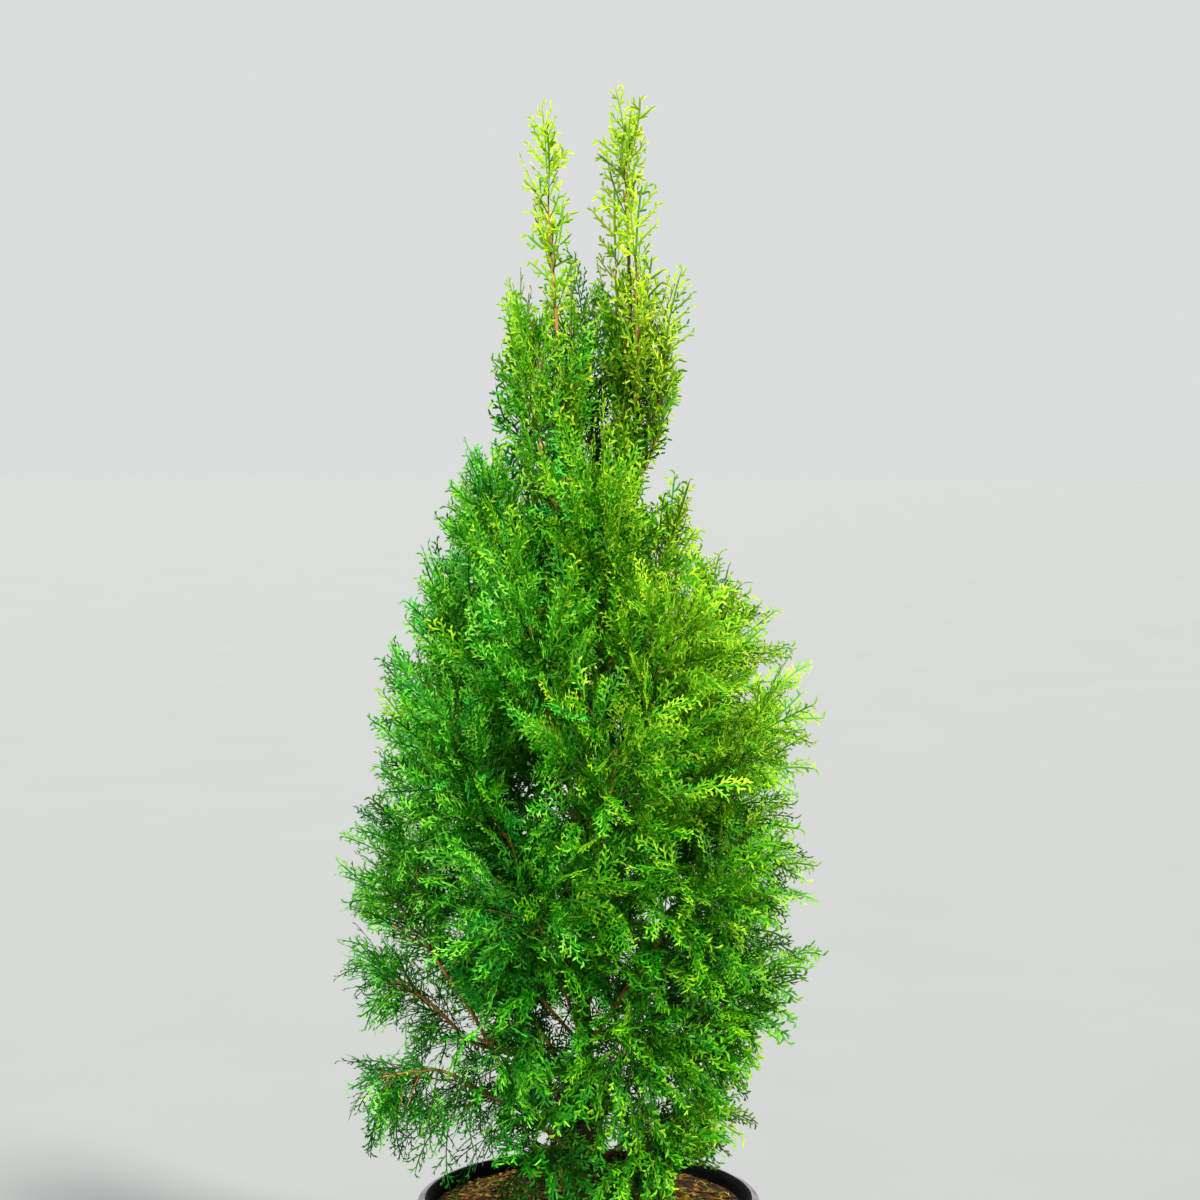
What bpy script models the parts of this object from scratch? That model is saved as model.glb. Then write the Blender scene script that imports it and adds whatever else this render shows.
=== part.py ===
"""A thuja about 90 cm tall in a round nursery pot. Metres, +Z up, origin under the middle of the pot.

The plant is a trunk that runs up to its right-hand tip, two leaders that fork from it, boughs that stand out
from its foot, and masses of flat sprays. Each mass grows by one seeded rule from its own stem, and keeps to the
space that lies nearer to that stem than to any other. +X is the plant's right, and -Y its front. Heights are
above the compost, bearings are in degrees, with 0 to the right, 90 to the back and 270 to the front.
"""

import math
import random
from collections import namedtuple

import bmesh
import bpy
from mathutils import Matrix, Quaternion, Vector
from mathutils.bvhtree import BVHTree
from mathutils.kdtree import KDTree

SEED = 36
CLEARANCE = 0.0003
UP = Vector((0.0, 0.0, 1.0))

# Pot
POT_HEIGHT = 0.225
POT_BASE_R = 0.106
POT_FLOOR = 0.003
POT_WALL = 0.0026
POT_DRAFT = 0.002
MOUTH_R = 0.1285
MOUTH_DROP = 0.006
LIP_R = 0.140
LIP_WIDTH = 0.009
LIP_ROUND = 0.0025
COLLAR_DROP = 0.015
COLLAR_WALL = 0.002
TURN_STEPS = 32

# Compost: its flat middle carries the trunk, and it swells in a ring half way out
COMPOST_TOP = POT_HEIGHT - 0.022
COMPOST_FLAT_R = 0.030
COMPOST_SWELL = 0.0025
COMPOST_EDGE_DROP = 0.0015

# Upright stems: (height, sideways, depthways) of the points that each one's line passes
TRUNK_LINE = (
    (0.00, 0.003, 0.000),
    (0.10, 0.000, 0.002),
    (0.20, -0.005, 0.003),
    (0.32, -0.004, 0.000),
    (0.42, 0.003, -0.003),
    (0.50, 0.018, -0.002),
    (0.58, 0.036, 0.002),
    (0.66, 0.038, 0.003),
    (0.73, 0.034, 0.001),
    (0.80, 0.032, 0.000),
)
TRUNK_BASE_R = 0.0080
TRUNK_TIP_R = 0.0013
TRUNK_TAPER = 0.85
TRUNK_SIDES = 10
TRUNK_RINGS = 24
FLARE_R = 0.0065
FLARE_HEIGHT = 0.006
LEFT_LEADER_LINE = (
    (0.415, -0.004, -0.004),
    (0.45, -0.010, -0.009),
    (0.52, -0.017, -0.013),
    (0.59, -0.020, -0.013),
    (0.65, -0.022, -0.011),
    (0.72, -0.025, -0.008),
)
SIDE_LEADER_LINE = (
    (0.455, -0.006, 0.008),
    (0.49, -0.018, 0.014),
    (0.54, -0.032, 0.016),
    (0.60, -0.044, 0.014),
)
LEADER_BASE_R = 0.0040
LEADER_TIP_R = 0.0012
LEADER_SIDES = 8
LEADER_RINGS = 12
ELBOW = (0.004, 0.003)

# The crown's outline: (height, reach to the left, reach to the right)
CROWN_OUTLINE = (
    (0.000, 0.140, 0.105),
    (0.068, 0.173, 0.118),
    (0.109, 0.189, 0.130),
    (0.191, 0.197, 0.171),
    (0.273, 0.191, 0.188),
    (0.354, 0.196, 0.188),
    (0.435, 0.175, 0.174),
    (0.516, 0.151, 0.126),
    (0.596, 0.119, 0.089),
    (0.676, 0.084, 0.077),
    (0.755, 0.068, 0.079),
)

# Tiers of masses round the trunk: the bearing of each, the heights of the stem's foot and tip, its rise in
# degrees there, the share of its line that is a bare bough, and the number of sprays
Tier = namedtuple("Tier", "name bearings foot tip leave arrive bare sprays")
TIERS = (
    Tier("skirt", (242, 305, 10, 95), 0.045, 0.075, 42, -25, 0.40, 5),
    Tier("low", (222, 288, 345, 50, 125), 0.085, 0.175, 45, 12, 0.40, 5),
    Tier("middle", (180, 250, 312, 20, 95), 0.150, 0.285, 48, 38, 0.0, 6),
    Tier("broad", (150, 215, 280, 345, 60), 0.235, 0.405, 50, 62, 0.0, 6),
    Tier("upper", (178, 245, 310, 8, 95), 0.330, 0.500, 50, 62, 0.0, 5),
    Tier("neck", (192, 285, 85), 0.430, 0.590, 52, 64, 0.0, 6),
)
STEM_REACH = 0.70
TURNS = (0, 6, -6, 12, -12, 18, -18)
SHIFTS = (0, -0.015, 0.015, -0.030, -0.045)

# The boughs low on the left: the limb that each leaves, where (a height on the trunk, a share of the line on a
# bough), and (height, sideways, depthways) of its tip and of its mass's tip
LeftBough = namedtuple("LeftBough", "name limb place end tip sprays")
LEFT_BOUGHS = (
    LeftBough("left", "trunk", 0.055, (0.205, -0.112, -0.020), (0.270, -0.150, -0.022), 6),
    LeftBough("left_arm", "bough_left", 0.66, (0.188, -0.128, -0.030), (0.212, -0.162, -0.034), 5),
    LeftBough("left_low", "bough_left", 0.34, (0.130, -0.110, -0.052), (0.120, -0.158, -0.058), 5),
)

# Uprights in the crown's top: the limb and height of the stem's foot, (height, sideways, depthways) of its
# tip, the height where the last spray ends, and the radius of the mass's own space
Upright = namedtuple("Upright", "name limb foot tip top radius sprays")
UPRIGHTS = (
    Upright("right_tip", "trunk", 0.800, (0.862, 0.030, -0.001), 0.922, 0.030, 6),
    Upright("right_front", "trunk", 0.660, (0.780, 0.038, -0.020), 0.860, 0.030, 5),
    Upright("right_back", "trunk", 0.640, (0.780, 0.022, 0.020), 0.860, 0.032, 5),
    Upright("right_arm", "trunk", 0.610, (0.700, 0.060, -0.004), 0.757, 0.036, 6),
    Upright("left_tip", "leader_left", 0.720, (0.835, -0.032, -0.006), 0.909, 0.030, 6),
    Upright("left_front", "leader_left", 0.580, (0.720, -0.040, -0.024), 0.820, 0.034, 5),
    Upright("left_back", "leader_left", 0.600, (0.730, -0.014, 0.010), 0.800, 0.032, 5),
    Upright("side_tip", "leader_side", 0.600, (0.715, -0.056, 0.011), 0.787, 0.034, 5),
    Upright("back_top", "trunk", 0.540, (0.690, 0.000, 0.040), 0.795, 0.044, 6),
    Upright("shoulder", "trunk", 0.455, (0.545, 0.066, 0.004), 0.614, 0.052, 6),
    Upright("front_top", "trunk", 0.490, (0.580, 0.012, -0.052), 0.665, 0.054, 6),
)
UPRIGHT_LEAVE = 1.2
UPRIGHT_SIZE = 0.62
UPRIGHT_FORK = 26
UPRIGHT_WIDTH = 0.60
UPRIGHT_END_WIDTH = 1.5

# Limbs
BOUGH_R = 0.0034
BOUGH_SIDES = 6
BOUGH_POINTS = 11
LEFT_BOUGH_POINTS = 6
STEM_R = 0.0019
STEM_TIP_R = 0.0006
STEM_POINTS = 4
TWIG_R = 0.0010
TWIG_TIP_R = 0.0004
TWIG_SHARE = 0.6
TWIG_SIDES = 3

# Twigs and sprays
TWIG_LENGTH = 0.040
TWIG_FORK = 50
GOLDEN_TURN = 137.5
FIRST_SPRAY = 0.30
LAST_SPRAY = 0.95
SPRAY_LENGTH = 0.115
SPRAY_LEAST = 0.050
SPRAY_WIDTH = 0.78
SPRAY_THICKNESS = 0.0013
SPRAY_ROOT = 0.0014
SPRAY_SINK = 0.007
END_SPRAY_SIZE = 1.25
MOST_PAIRS = 3
MOST_PAIRS_FROM = 0.075
TOOTH_SWEEP = 0.85

# Sprays droop at the foot of the crown and rise from here up: (height, pull up or down)
DROOP = (0.06, -0.20)
LIFT = (0.36, 0.55)

# Seeded tries, and how far each may stray
TRIES = 140
LEAST_SIZE = 0.65
STRAY_SHARE = 0.15
STRAY_TURN = 90
STRAY_FORK = 18
STRAY_ROLL = 50
SHORTEN = 0.002
NARROW = 0.97

# How far a spray may reach past its space, and how far it keeps from what stands
EDGE_SLACK = 0.002
SPACE_SLACK = 0.004
SPACE_STEP = 0.006
KEEP_OFF = 0.0006

# Colours: (red, green, blue), roughness
POT_COLOUR = ((0.018, 0.018, 0.021), 0.42)
COMPOST_COLOUR = ((0.050, 0.032, 0.018), 0.95)
BARK_COLOUR = ((0.110, 0.058, 0.030), 0.85)
YOUNG_BARK_COLOUR = ((0.300, 0.130, 0.035), 0.75)
LEAF_LOW = (0.060, 0.165, 0.022)
LEAF_HIGH = (0.330, 0.520, 0.030)
LEAF_ROUGHNESS = 0.6


def mix(a, b, t):
    return a + (b - a) * t


def clamp(value, low=0.0, high=1.0):
    return min(max(value, low), high)


def bearing_vector(degrees):
    angle = math.radians(degrees)
    return Vector((math.cos(angle), math.sin(angle), 0.0))


def rising(out, degrees):
    """A level direction tilted up by this much."""
    return out + UP * math.tan(math.radians(degrees))


def above_compost(height, sideways, depthways):
    return Vector((sideways, depthways, COMPOST_TOP + CLEARANCE + height))


def height_of(point):
    return point.z - COMPOST_TOP - CLEARANCE


def through(points, t):
    """The point at t from 0 to 1 on the smooth curve that passes each of these."""
    last = len(points) - 1
    i = min(int(t * last), last - 1)
    u = t * last - i
    a, b, c, d = (points[int(clamp(i + k, 0, last))] for k in (-1, 0, 1, 2))
    bend = 2 * a - 5 * b + 4 * c - d
    return 0.5 * (2 * b + (c - a) * u + bend * u**2 + (3 * b - a - 3 * c + d) * u**3)


def arch(foot, leave, tip, arrive, count):
    """Points of a curve from foot to tip that leaves and arrives along these directions."""
    pull = (tip - foot).length / 3
    corners = (foot, foot + leave.normalized() * pull, tip - arrive.normalized() * pull, tip)
    line = []
    for step in range(count):
        t = step / (count - 1)
        weights = ((1 - t) ** 3, 3 * t * (1 - t) ** 2, 3 * t**2 * (1 - t), t**3)
        line.append(sum((w * c for w, c in zip(weights, corners)), Vector()))
    return line


def shape_of(bm):
    """The corners and faces of a mesh under construction, which it ends."""
    bm.verts.index_update()
    corners = [v.co.copy() for v in bm.verts]
    faces = [[v.index for v in f.verts] for f in bm.faces]
    bm.free()
    return corners, faces


def sweep(line, radii, sides, cut=None):
    """A tapering limb along a line, capped at both ends. Its first ring lies square to cut, where that is given."""
    bm = bmesh.new()
    last = len(line) - 1
    across = None
    below = []
    for i, centre in enumerate(line):
        way = (line[min(i + 1, last)] - line[max(i - 1, 0)]).normalized()
        if i == 0 and cut is not None:
            way = cut.normalized()
        if across is None:
            across = way.orthogonal()
        across = (across - way * across.dot(way)).normalized()
        turn = Matrix((across, way.cross(across), way)).transposed().to_4x4()
        made = bmesh.ops.create_circle(
            bm,
            cap_ends=i in (0, last),
            radius=radii[i],
            segments=sides,
            matrix=Matrix.Translation(centre) @ turn,
        )
        ring = list({edge for corner in made["verts"] for edge in corner.link_edges})
        if below:
            bmesh.ops.bridge_loops(bm, edges=below + ring)
        below = ring
    bmesh.ops.recalc_face_normals(bm, faces=bm.faces)
    return shape_of(bm)


def spray_outline(length, width, pairs):
    """The outline of a toothed blade, (along, across), from its root round its tip and back.

    Its teeth are the side shoots. They sweep forward, alternate, and are longest a third of the way up.
    """
    step = length / (pairs + 1)
    sides = []
    for sign, shift in ((1, 0.7), (-1, 0.3)):
        side = [(0.0, sign * SPRAY_ROOT)]
        for i in range(pairs):
            base = (i + shift) * step
            tooth = 0.5 * math.sin(math.pi * mix(0.42, 0.88, i / (pairs - 1)))
            side.append((base + TOOTH_SWEEP * tooth * length, sign * width * tooth))
            side.append((base + 0.55 * step, sign * width * mix(0.09, 0.05, i / pairs)))
        sides.append(side)
    return sides[0] + [(length, 0.0)] + sides[1][::-1]


def blade(root, along, face, length, width, pairs, grow=0.0):
    """A toothed blade that stands from root along one direction, with its flat side to another.

    It is larger by grow on every side.
    """
    across = face.cross(along).normalized()
    thickness = SPRAY_THICKNESS + 2 * grow
    bm = bmesh.new()
    corners = []
    for forward, sideways in spray_outline(length, width, pairs):
        forward += grow if forward > 0 else -grow
        sideways += math.copysign(grow, sideways) if sideways else 0.0
        place = root + along * forward + across * sideways - face * thickness / 2
        corners.append(bm.verts.new(place))
    sheet = bm.faces.new(corners)
    lifted = bmesh.ops.extrude_face_region(bm, geom=[sheet], use_keep_orig=True)["geom"]
    lifted = [item for item in lifted if isinstance(item, bmesh.types.BMVert)]
    bmesh.ops.translate(bm, vec=face * thickness, verts=lifted)
    bmesh.ops.recalc_face_normals(bm, faces=bm.faces)
    return shape_of(bm)


def reach_at(height, bearing):
    """How far the crown reaches from the pot's axis at a height, toward a bearing in radians."""
    height = clamp(height, CROWN_OUTLINE[0][0], CROWN_OUTLINE[-1][0])
    for (low, *at_low), (high, *at_high) in zip(CROWN_OUTLINE, CROWN_OUTLINE[1:]):
        if height <= high:
            t = (height - low) / (high - low)
            left, right = (mix(a, b, t) for a, b in zip(at_low, at_high))
            return (left + right) / 2 + (right - left) / 2 * math.cos(bearing)


def inside_crown(point, slack=0.0):
    reach = reach_at(height_of(point), math.atan2(point.y, point.x))
    return math.hypot(point.x, point.y) <= reach + slack


def material(name, colour, roughness):
    made = bpy.data.materials.new(name)
    made.use_nodes = True
    surface = made.node_tree.nodes["Principled BSDF"]
    surface.inputs["Base Color"].default_value = (*colour, 1.0)
    surface.inputs["Roughness"].default_value = roughness
    surface.inputs["Metallic"].default_value = 0.0
    return made


def add_object(name, mesh, collection):
    made = bpy.data.objects.new(name, mesh)
    collection.objects.link(made)
    return made


def add_shape(name, shape, collection):
    corners, faces = shape
    mesh = bpy.data.meshes.new(name)
    mesh.from_pydata(corners, [], faces)
    return add_object(name, mesh, collection)


def finish(made, colour, roughness, smooth):
    made.data.materials.clear()
    made.data.materials.append(material(made.name, colour, roughness))
    made.data.polygons.foreach_set("use_smooth", [smooth] * len(made.data.polygons))


def turned(name, section, collection):
    """A turned solid from half its section, which runs from the axis round its rim and back to the axis."""
    mesh = bpy.data.meshes.new(name)
    edges = [(i, i + 1) for i in range(len(section) - 1)]
    mesh.from_pydata([(radius, 0.0, z) for radius, z in section], edges, [])
    made = add_object(name, mesh, collection)
    screw = made.modifiers.new("turn", "SCREW")
    screw.steps = TURN_STEPS
    screw.render_steps = TURN_STEPS
    screw.use_merge_vertices = True
    screw.merge_threshold = 0.0001
    return made


def wall_inside(z):
    """The radius of the pot's inner wall at a height above the ground."""
    up = (z - POT_FLOOR) / (POT_HEIGHT - MOUTH_DROP - POT_FLOOR)
    return mix(POT_BASE_R - POT_WALL, MOUTH_R, up)


def pot_section():
    """Half of the pot's section: up the inside, over the rolled lip, under its collar and down the outside."""
    mouth_z = POT_HEIGHT - MOUTH_DROP
    lip_in = LIP_R - LIP_WIDTH
    collar_r = LIP_R - COLLAR_WALL
    collar_z = POT_HEIGHT - COLLAR_DROP
    return (
        (0.0, POT_FLOOR),
        (POT_BASE_R - POT_WALL, POT_FLOOR),
        (MOUTH_R, mouth_z),
        (lip_in, POT_HEIGHT - LIP_ROUND / 2),
        (lip_in + LIP_ROUND, POT_HEIGHT),
        (LIP_R - LIP_ROUND, POT_HEIGHT),
        (LIP_R, POT_HEIGHT - LIP_ROUND),
        (LIP_R, collar_z),
        (collar_r, collar_z),
        (collar_r, mouth_z),
        (MOUTH_R + POT_WALL, mouth_z - POT_WALL),
        (POT_BASE_R + POT_DRAFT, POT_FLOOR),
        (POT_BASE_R, 0.0),
        (0.0, 0.0),
    )


def compost_section():
    floor = POT_FLOOR + CLEARANCE
    edge = COMPOST_TOP - COMPOST_EDGE_DROP
    inset = CLEARANCE / math.cos(math.pi / TURN_STEPS)
    swell_r = (COMPOST_FLAT_R + wall_inside(edge)) / 2
    return (
        (0.0, COMPOST_TOP),
        (COMPOST_FLAT_R, COMPOST_TOP),
        (swell_r, COMPOST_TOP + COMPOST_SWELL),
        (wall_inside(edge) - inset, edge),
        (wall_inside(floor) - inset, floor),
        (0.0, floor),
    )


def evaluated_shape(made):
    """The shape of an object with its modifiers."""
    bpy.context.view_layer.update()
    evaluated = made.evaluated_get(bpy.context.evaluated_depsgraph_get())
    mesh = evaluated.to_mesh()
    shape = [v.co.copy() for v in mesh.vertices], [list(p.vertices) for p in mesh.polygons]
    evaluated.to_mesh_clear()
    return shape


class Placed:
    """A shape that stands, for later ones to keep clear of."""

    def __init__(self, owner, shape):
        corners, faces = shape
        self.owner = owner
        self.tree = BVHTree.FromPolygons(corners, faces)
        self.low = [min(c[i] for c in corners) for i in range(3)]
        self.high = [max(c[i] for c in corners) for i in range(3)]

    def meets(self, other):
        if any(self.low[i] > other.high[i] or other.low[i] > self.high[i] for i in range(3)):
            return False
        return bool(self.tree.overlap(other.tree))


class Mass:
    """A mass of foliage: its stem, and the twigs and sprays that grow on it.

    An upright has a radius and a top of its own. Any other reaches to the crown's outline.
    """

    def __init__(self, name, line, cut, sprays, radius=None, top=None):
        self.name = name
        self.line = line
        self.sprays = sprays
        self.radius = radius
        self.top = top
        self.upright = radius is not None
        self.size = UPRIGHT_SIZE if self.upright else 1.0
        self.turn = random.uniform(0, 360)
        radii = [mix(STEM_R, STEM_TIP_R, i / (len(line) - 1)) for i in range(len(line))]
        self.stem = sweep(line, radii, TWIG_SIDES, cut)
        self.stem_owner = name + " stem"
        self.shapes = [self.stem]

    def room(self, root, along, wanted):
        """A spray's length, cut to where the mass's space ends."""
        if self.upright:
            return min(wanted, (self.top - height_of(root)) / max(along.z, 0.2))
        length = wanted
        while length > SPRAY_LEAST / 2 and not inside_crown(root + along * length):
            length -= SHORTEN
        return length


class Plant:
    """The limbs and masses as they are grown."""

    def __init__(self, collection):
        self.collection = collection
        self.limbs = {}
        self.masses = []
        self.placed = []
        self.middles = []

    def stand(self, owner, shape):
        self.placed.append(Placed(owner, shape))

    def is_clear(self, shape, leave_out=None):
        """Whether a shape touches none that stands, but for those of one owner."""
        tested = Placed(None, shape)
        return not any(p.owner != leave_out and p.meets(tested) for p in self.placed)

    def add_limb(self, name, line, radii, sides, cut, colour):
        shape = sweep(line, radii, sides, cut)
        finish(add_shape(name, shape, self.collection), *colour, True)
        self.limbs[name] = (line, radii)
        self.stand(name, shape)

    def share_at_height(self, name, height):
        """The share of an upright limb's line that lies below a height."""
        line, _ = self.limbs[name]
        z = above_compost(height, 0, 0).z
        i = 0
        while i < len(line) - 2 and z > line[i + 1].z:
            i += 1
        return (i + clamp((z - line[i].z) / (line[i + 1].z - line[i].z))) / (len(line) - 1)

    def foot_on_side(self, name, share, toward):
        """Where a limb starts that leaves another's side toward a point, and the direction of its cut."""
        line, radii = self.limbs[name]
        place = share * (len(line) - 1)
        i = min(int(place), len(line) - 2)
        axis = line[i].lerp(line[i + 1], place - i)
        way = (line[i + 1] - line[i]).normalized()
        out = toward - axis
        out = (out - way * out.dot(way)).normalized()
        return axis + out * (mix(radii[i], radii[i + 1], place - i) + CLEARANCE), out

    def foot_on_end(self, name):
        """The same for a stem that carries a limb on from its end."""
        line, _ = self.limbs[name]
        way = (line[-1] - line[-2]).normalized()
        return line[-1] + way * CLEARANCE, way

    def add_mass(self, mass):
        """Adds a mass whose stem is clear, and says whether it was."""
        if not self.is_clear(mass.stem):
            return False
        self.stand(mass.stem_owner, mass.stem)
        self.masses.append(mass)
        return True

    def share_space(self):
        """Gives each mass the space that is nearest to its stem."""
        for mass in self.masses:
            steps = math.ceil((mass.line[-1] - mass.line[0]).length / SPACE_STEP)
            mass.points = [through(mass.line, step / steps) for step in range(steps + 1)]
        every = [point for mass in self.masses for point in mass.points]
        self.stems = KDTree(len(every))
        for i, point in enumerate(every):
            self.stems.insert(point, i)
        self.stems.balance()

    def keeps_space(self, mass, corners):
        """Whether these corners lie inside the mass's own space."""
        for corner in corners:
            own = min((corner - point).length for point in mass.points)
            if mass.upright and (own > mass.radius or height_of(corner) > mass.top):
                return False
            if not mass.upright and not inside_crown(corner, EDGE_SLACK):
                return False
            _, _, nearest = self.stems.find(corner)
            if own > nearest + SPACE_SLACK:
                return False
        return True

    def spray_face(self, along):
        """A side for a spray's flat face: any one where it stands up, near level where it lies out."""
        side = UP.cross(along)
        if along.z > 0.8:
            side = bearing_vector(random.uniform(0, 360))
        side = Quaternion(along, math.radians(random.uniform(-STRAY_ROLL, STRAY_ROLL))) @ side
        return (side - along * side.dot(along)).normalized()

    def end_spray(self, mass):
        """The spray that carries a stem on to the tip of its mass, as narrow as it must be to keep clear."""
        along = (mass.line[-1] - mass.line[-2]).normalized()
        root = mass.line[-1] - along * SPRAY_SINK
        length = mass.room(root, along, math.inf if mass.upright else SPRAY_LENGTH * END_SPRAY_SIZE)
        width = length * SPRAY_WIDTH
        if mass.upright:
            width = min(width, mass.radius * UPRIGHT_END_WIDTH)
        for _ in range(TRIES):
            spray = (root, along, self.spray_face(along), length, width, MOST_PAIRS)
            if self.is_clear(blade(*spray, KEEP_OFF), mass.stem_owner):
                self.middles.append(root + along * length / 2)
                return blade(*spray)
            width *= NARROW
        return None

    def side_try(self, mass, number, size):
        """One seeded try at a twig's root, tip and radius and at its spray, or None where there is no room."""
        share = mix(FIRST_SPRAY, LAST_SPRAY, number / max(mass.sprays - 2, 1))
        share = clamp(share + random.uniform(-STRAY_SHARE, STRAY_SHARE), 0.05, LAST_SPRAY)
        root = through(mass.line, share)
        way = (through(mass.line, share + 0.03) - through(mass.line, share - 0.03)).normalized()
        turn = GOLDEN_TURN * number + mass.turn + random.uniform(-STRAY_TURN, STRAY_TURN)
        around = Quaternion(way, math.radians(turn)) @ way.orthogonal().normalized()
        fork = UPRIGHT_FORK if mass.upright else TWIG_FORK
        fork = math.radians(fork + random.uniform(-STRAY_FORK, STRAY_FORK))
        up = clamp((height_of(root) - DROOP[0]) / (LIFT[0] - DROOP[0]))
        lean = UP * mix(DROOP[1], LIFT[1], up)
        along = (way * math.cos(fork) + around * math.sin(fork) + lean).normalized()
        tip = root + along * TWIG_LENGTH * size * random.uniform(0.35, 1.0)
        sunk = tip - along * SPRAY_SINK
        length = mass.room(sunk, along, SPRAY_LENGTH * size * random.uniform(0.9, 1.1))
        if length < SPRAY_LEAST * mass.size:
            return None
        width = length * (UPRIGHT_WIDTH if mass.upright else SPRAY_WIDTH)
        pairs = MOST_PAIRS if length > MOST_PAIRS_FROM else MOST_PAIRS - 1
        radius = min(TWIG_R, mix(STEM_R, STEM_TIP_R, share) * TWIG_SHARE)
        return (root, tip, radius), (sunk, along, self.spray_face(along), length, width, pairs)

    def fits(self, mass, twig, spray):
        """Whether a twig and its spray keep to the mass's space and touch nothing but its stem."""
        root, tip, radius = twig
        if not self.keeps_space(mass, blade(*spray)[0]):
            return False
        if not self.is_clear(blade(*spray, KEEP_OFF)):
            return False
        guard = sweep([root, tip], [radius + KEEP_OFF, TWIG_TIP_R + KEEP_OFF], TWIG_SIDES)
        return self.is_clear(guard, mass.stem_owner)

    def side_spray(self, mass, number):
        """Grows the twig and spray that stand in the most open place of those tried, where any fits."""
        best = None
        most = 0.0
        for attempt in range(TRIES):
            tried = self.side_try(mass, number, mass.size * mix(1.0, LEAST_SIZE, attempt / TRIES))
            if not tried:
                continue
            twig, spray = tried
            root, along, _, length, _, _ = spray
            middle = root + along * length / 2
            openness = min((middle - other).length for other in self.middles) + length / 2
            if openness > most and self.fits(mass, twig, spray):
                most = openness
                best = (twig, spray, middle)
        if not best:
            return
        (root, tip, radius), spray, middle = best
        self.middles.append(middle)
        for shape in (sweep([root, tip], [radius, TWIG_TIP_R], TWIG_SIDES), blade(*spray)):
            mass.shapes.append(shape)
            self.stand(mass.name, shape)

    def grow(self):
        """Grows every mass: first the sprays at the stems' ends, then one side spray each in turn."""
        self.share_space()
        for mass in self.masses:
            ended = self.end_spray(mass)
            if ended:
                mass.shapes.append(ended)
                self.stand(mass.name, ended)
        for number in range(max(mass.sprays for mass in self.masses) - 1):
            for mass in self.masses:
                if number < mass.sprays - 1:
                    self.side_spray(mass, number)

    def join(self, mass):
        """Fuses a mass's stem, twigs and sprays into one solid."""
        pieces = bpy.data.collections.new("pieces")
        bpy.context.scene.collection.children.link(pieces)
        for shape in mass.shapes[1:]:
            add_shape("piece", shape, pieces)
        made = add_shape(mass.name, mass.stem, self.collection)
        union = made.modifiers.new("fuse", "BOOLEAN")
        union.operation = "UNION"
        union.operand_type = "COLLECTION"
        union.collection = pieces
        bpy.context.view_layer.update()
        fused = made.evaluated_get(bpy.context.evaluated_depsgraph_get())
        fused = bpy.data.meshes.new_from_object(fused)
        made.modifiers.clear()
        made.data = fused
        for piece in list(pieces.objects):
            bpy.data.objects.remove(piece)
        bpy.data.collections.remove(pieces)
        up = clamp(height_of(mass.line[-1]) / TRUNK_LINE[-1][0]) ** 1.5
        finish(made, [mix(low, high, up) for low, high in zip(LEAF_LOW, LEAF_HIGH)], LEAF_ROUGHNESS, False)


def add_trunk(plant):
    """The trunk, with rings set closer toward its flared foot."""
    points = [above_compost(*row) for row in TRUNK_LINE]
    line = [through(points, (i / (TRUNK_RINGS - 1)) ** 1.8) for i in range(TRUNK_RINGS)]
    radii = []
    for point in line:
        height = height_of(point)
        up = clamp(height / TRUNK_LINE[-1][0]) ** TRUNK_TAPER
        radii.append(mix(TRUNK_BASE_R, TRUNK_TIP_R, up) + FLARE_R * math.exp(-height / FLARE_HEIGHT))
    plant.add_limb("trunk", line, radii, TRUNK_SIDES, UP, BARK_COLOUR)


def add_leader(plant, name, rows):
    """A leader that leaves the trunk's side by an elbow and turns up beside it."""
    points = [above_compost(*row) for row in rows]
    line = [through(points, i / (LEADER_RINGS - 1)) for i in range(LEADER_RINGS)]
    foot, out = plant.foot_on_side("trunk", plant.share_at_height("trunk", rows[0][0]), line[2])
    line[0:1] = [foot, foot + out * ELBOW[0] + UP * ELBOW[1]]
    radii = [mix(LEADER_BASE_R, LEADER_TIP_R, i / LEADER_RINGS) for i in range(LEADER_RINGS + 1)]
    plant.add_limb(name, line, radii, LEADER_SIDES, out, YOUNG_BARK_COLOUR)


def add_left_bough(plant, row):
    """One of the boughs low on the left, and the mass that carries it on."""
    end = above_compost(*row.end)
    tip = above_compost(*row.tip)
    share = plant.share_at_height("trunk", row.place) if row.limb == "trunk" else row.place
    foot, cut = plant.foot_on_side(row.limb, share, end)
    line = arch(foot, rising(cut, 30), end, end - foot, LEFT_BOUGH_POINTS)
    radii = [mix(BOUGH_R, STEM_R, i / (LEFT_BOUGH_POINTS - 1)) for i in range(LEFT_BOUGH_POINTS)]
    plant.add_limb("bough_" + row.name, line, radii, BOUGH_SIDES, cut, YOUNG_BARK_COLOUR)
    foot, cut = plant.foot_on_end("bough_" + row.name)
    stem = arch(foot, cut, tip, tip - end, STEM_POINTS)
    return plant.add_mass(Mass("foliage_" + row.name, stem, cut, row.sprays))


def add_upright(plant, row):
    """A mass that stands up beside a leader, or carries one on from its end."""
    tip = above_compost(*row.tip)
    share = plant.share_at_height(row.limb, row.foot)
    if share == 1.0:
        foot, cut = plant.foot_on_end(row.limb)
        leave = cut
    else:
        foot, cut = plant.foot_on_side(row.limb, share, tip)
        leave = cut + UP * UPRIGHT_LEAVE
    stem = arch(foot, leave, tip, UP + (tip - foot).normalized(), STEM_POINTS)
    return plant.add_mass(Mass("foliage_" + row.name, stem, cut, row.sprays, row.radius, row.top))


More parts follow.
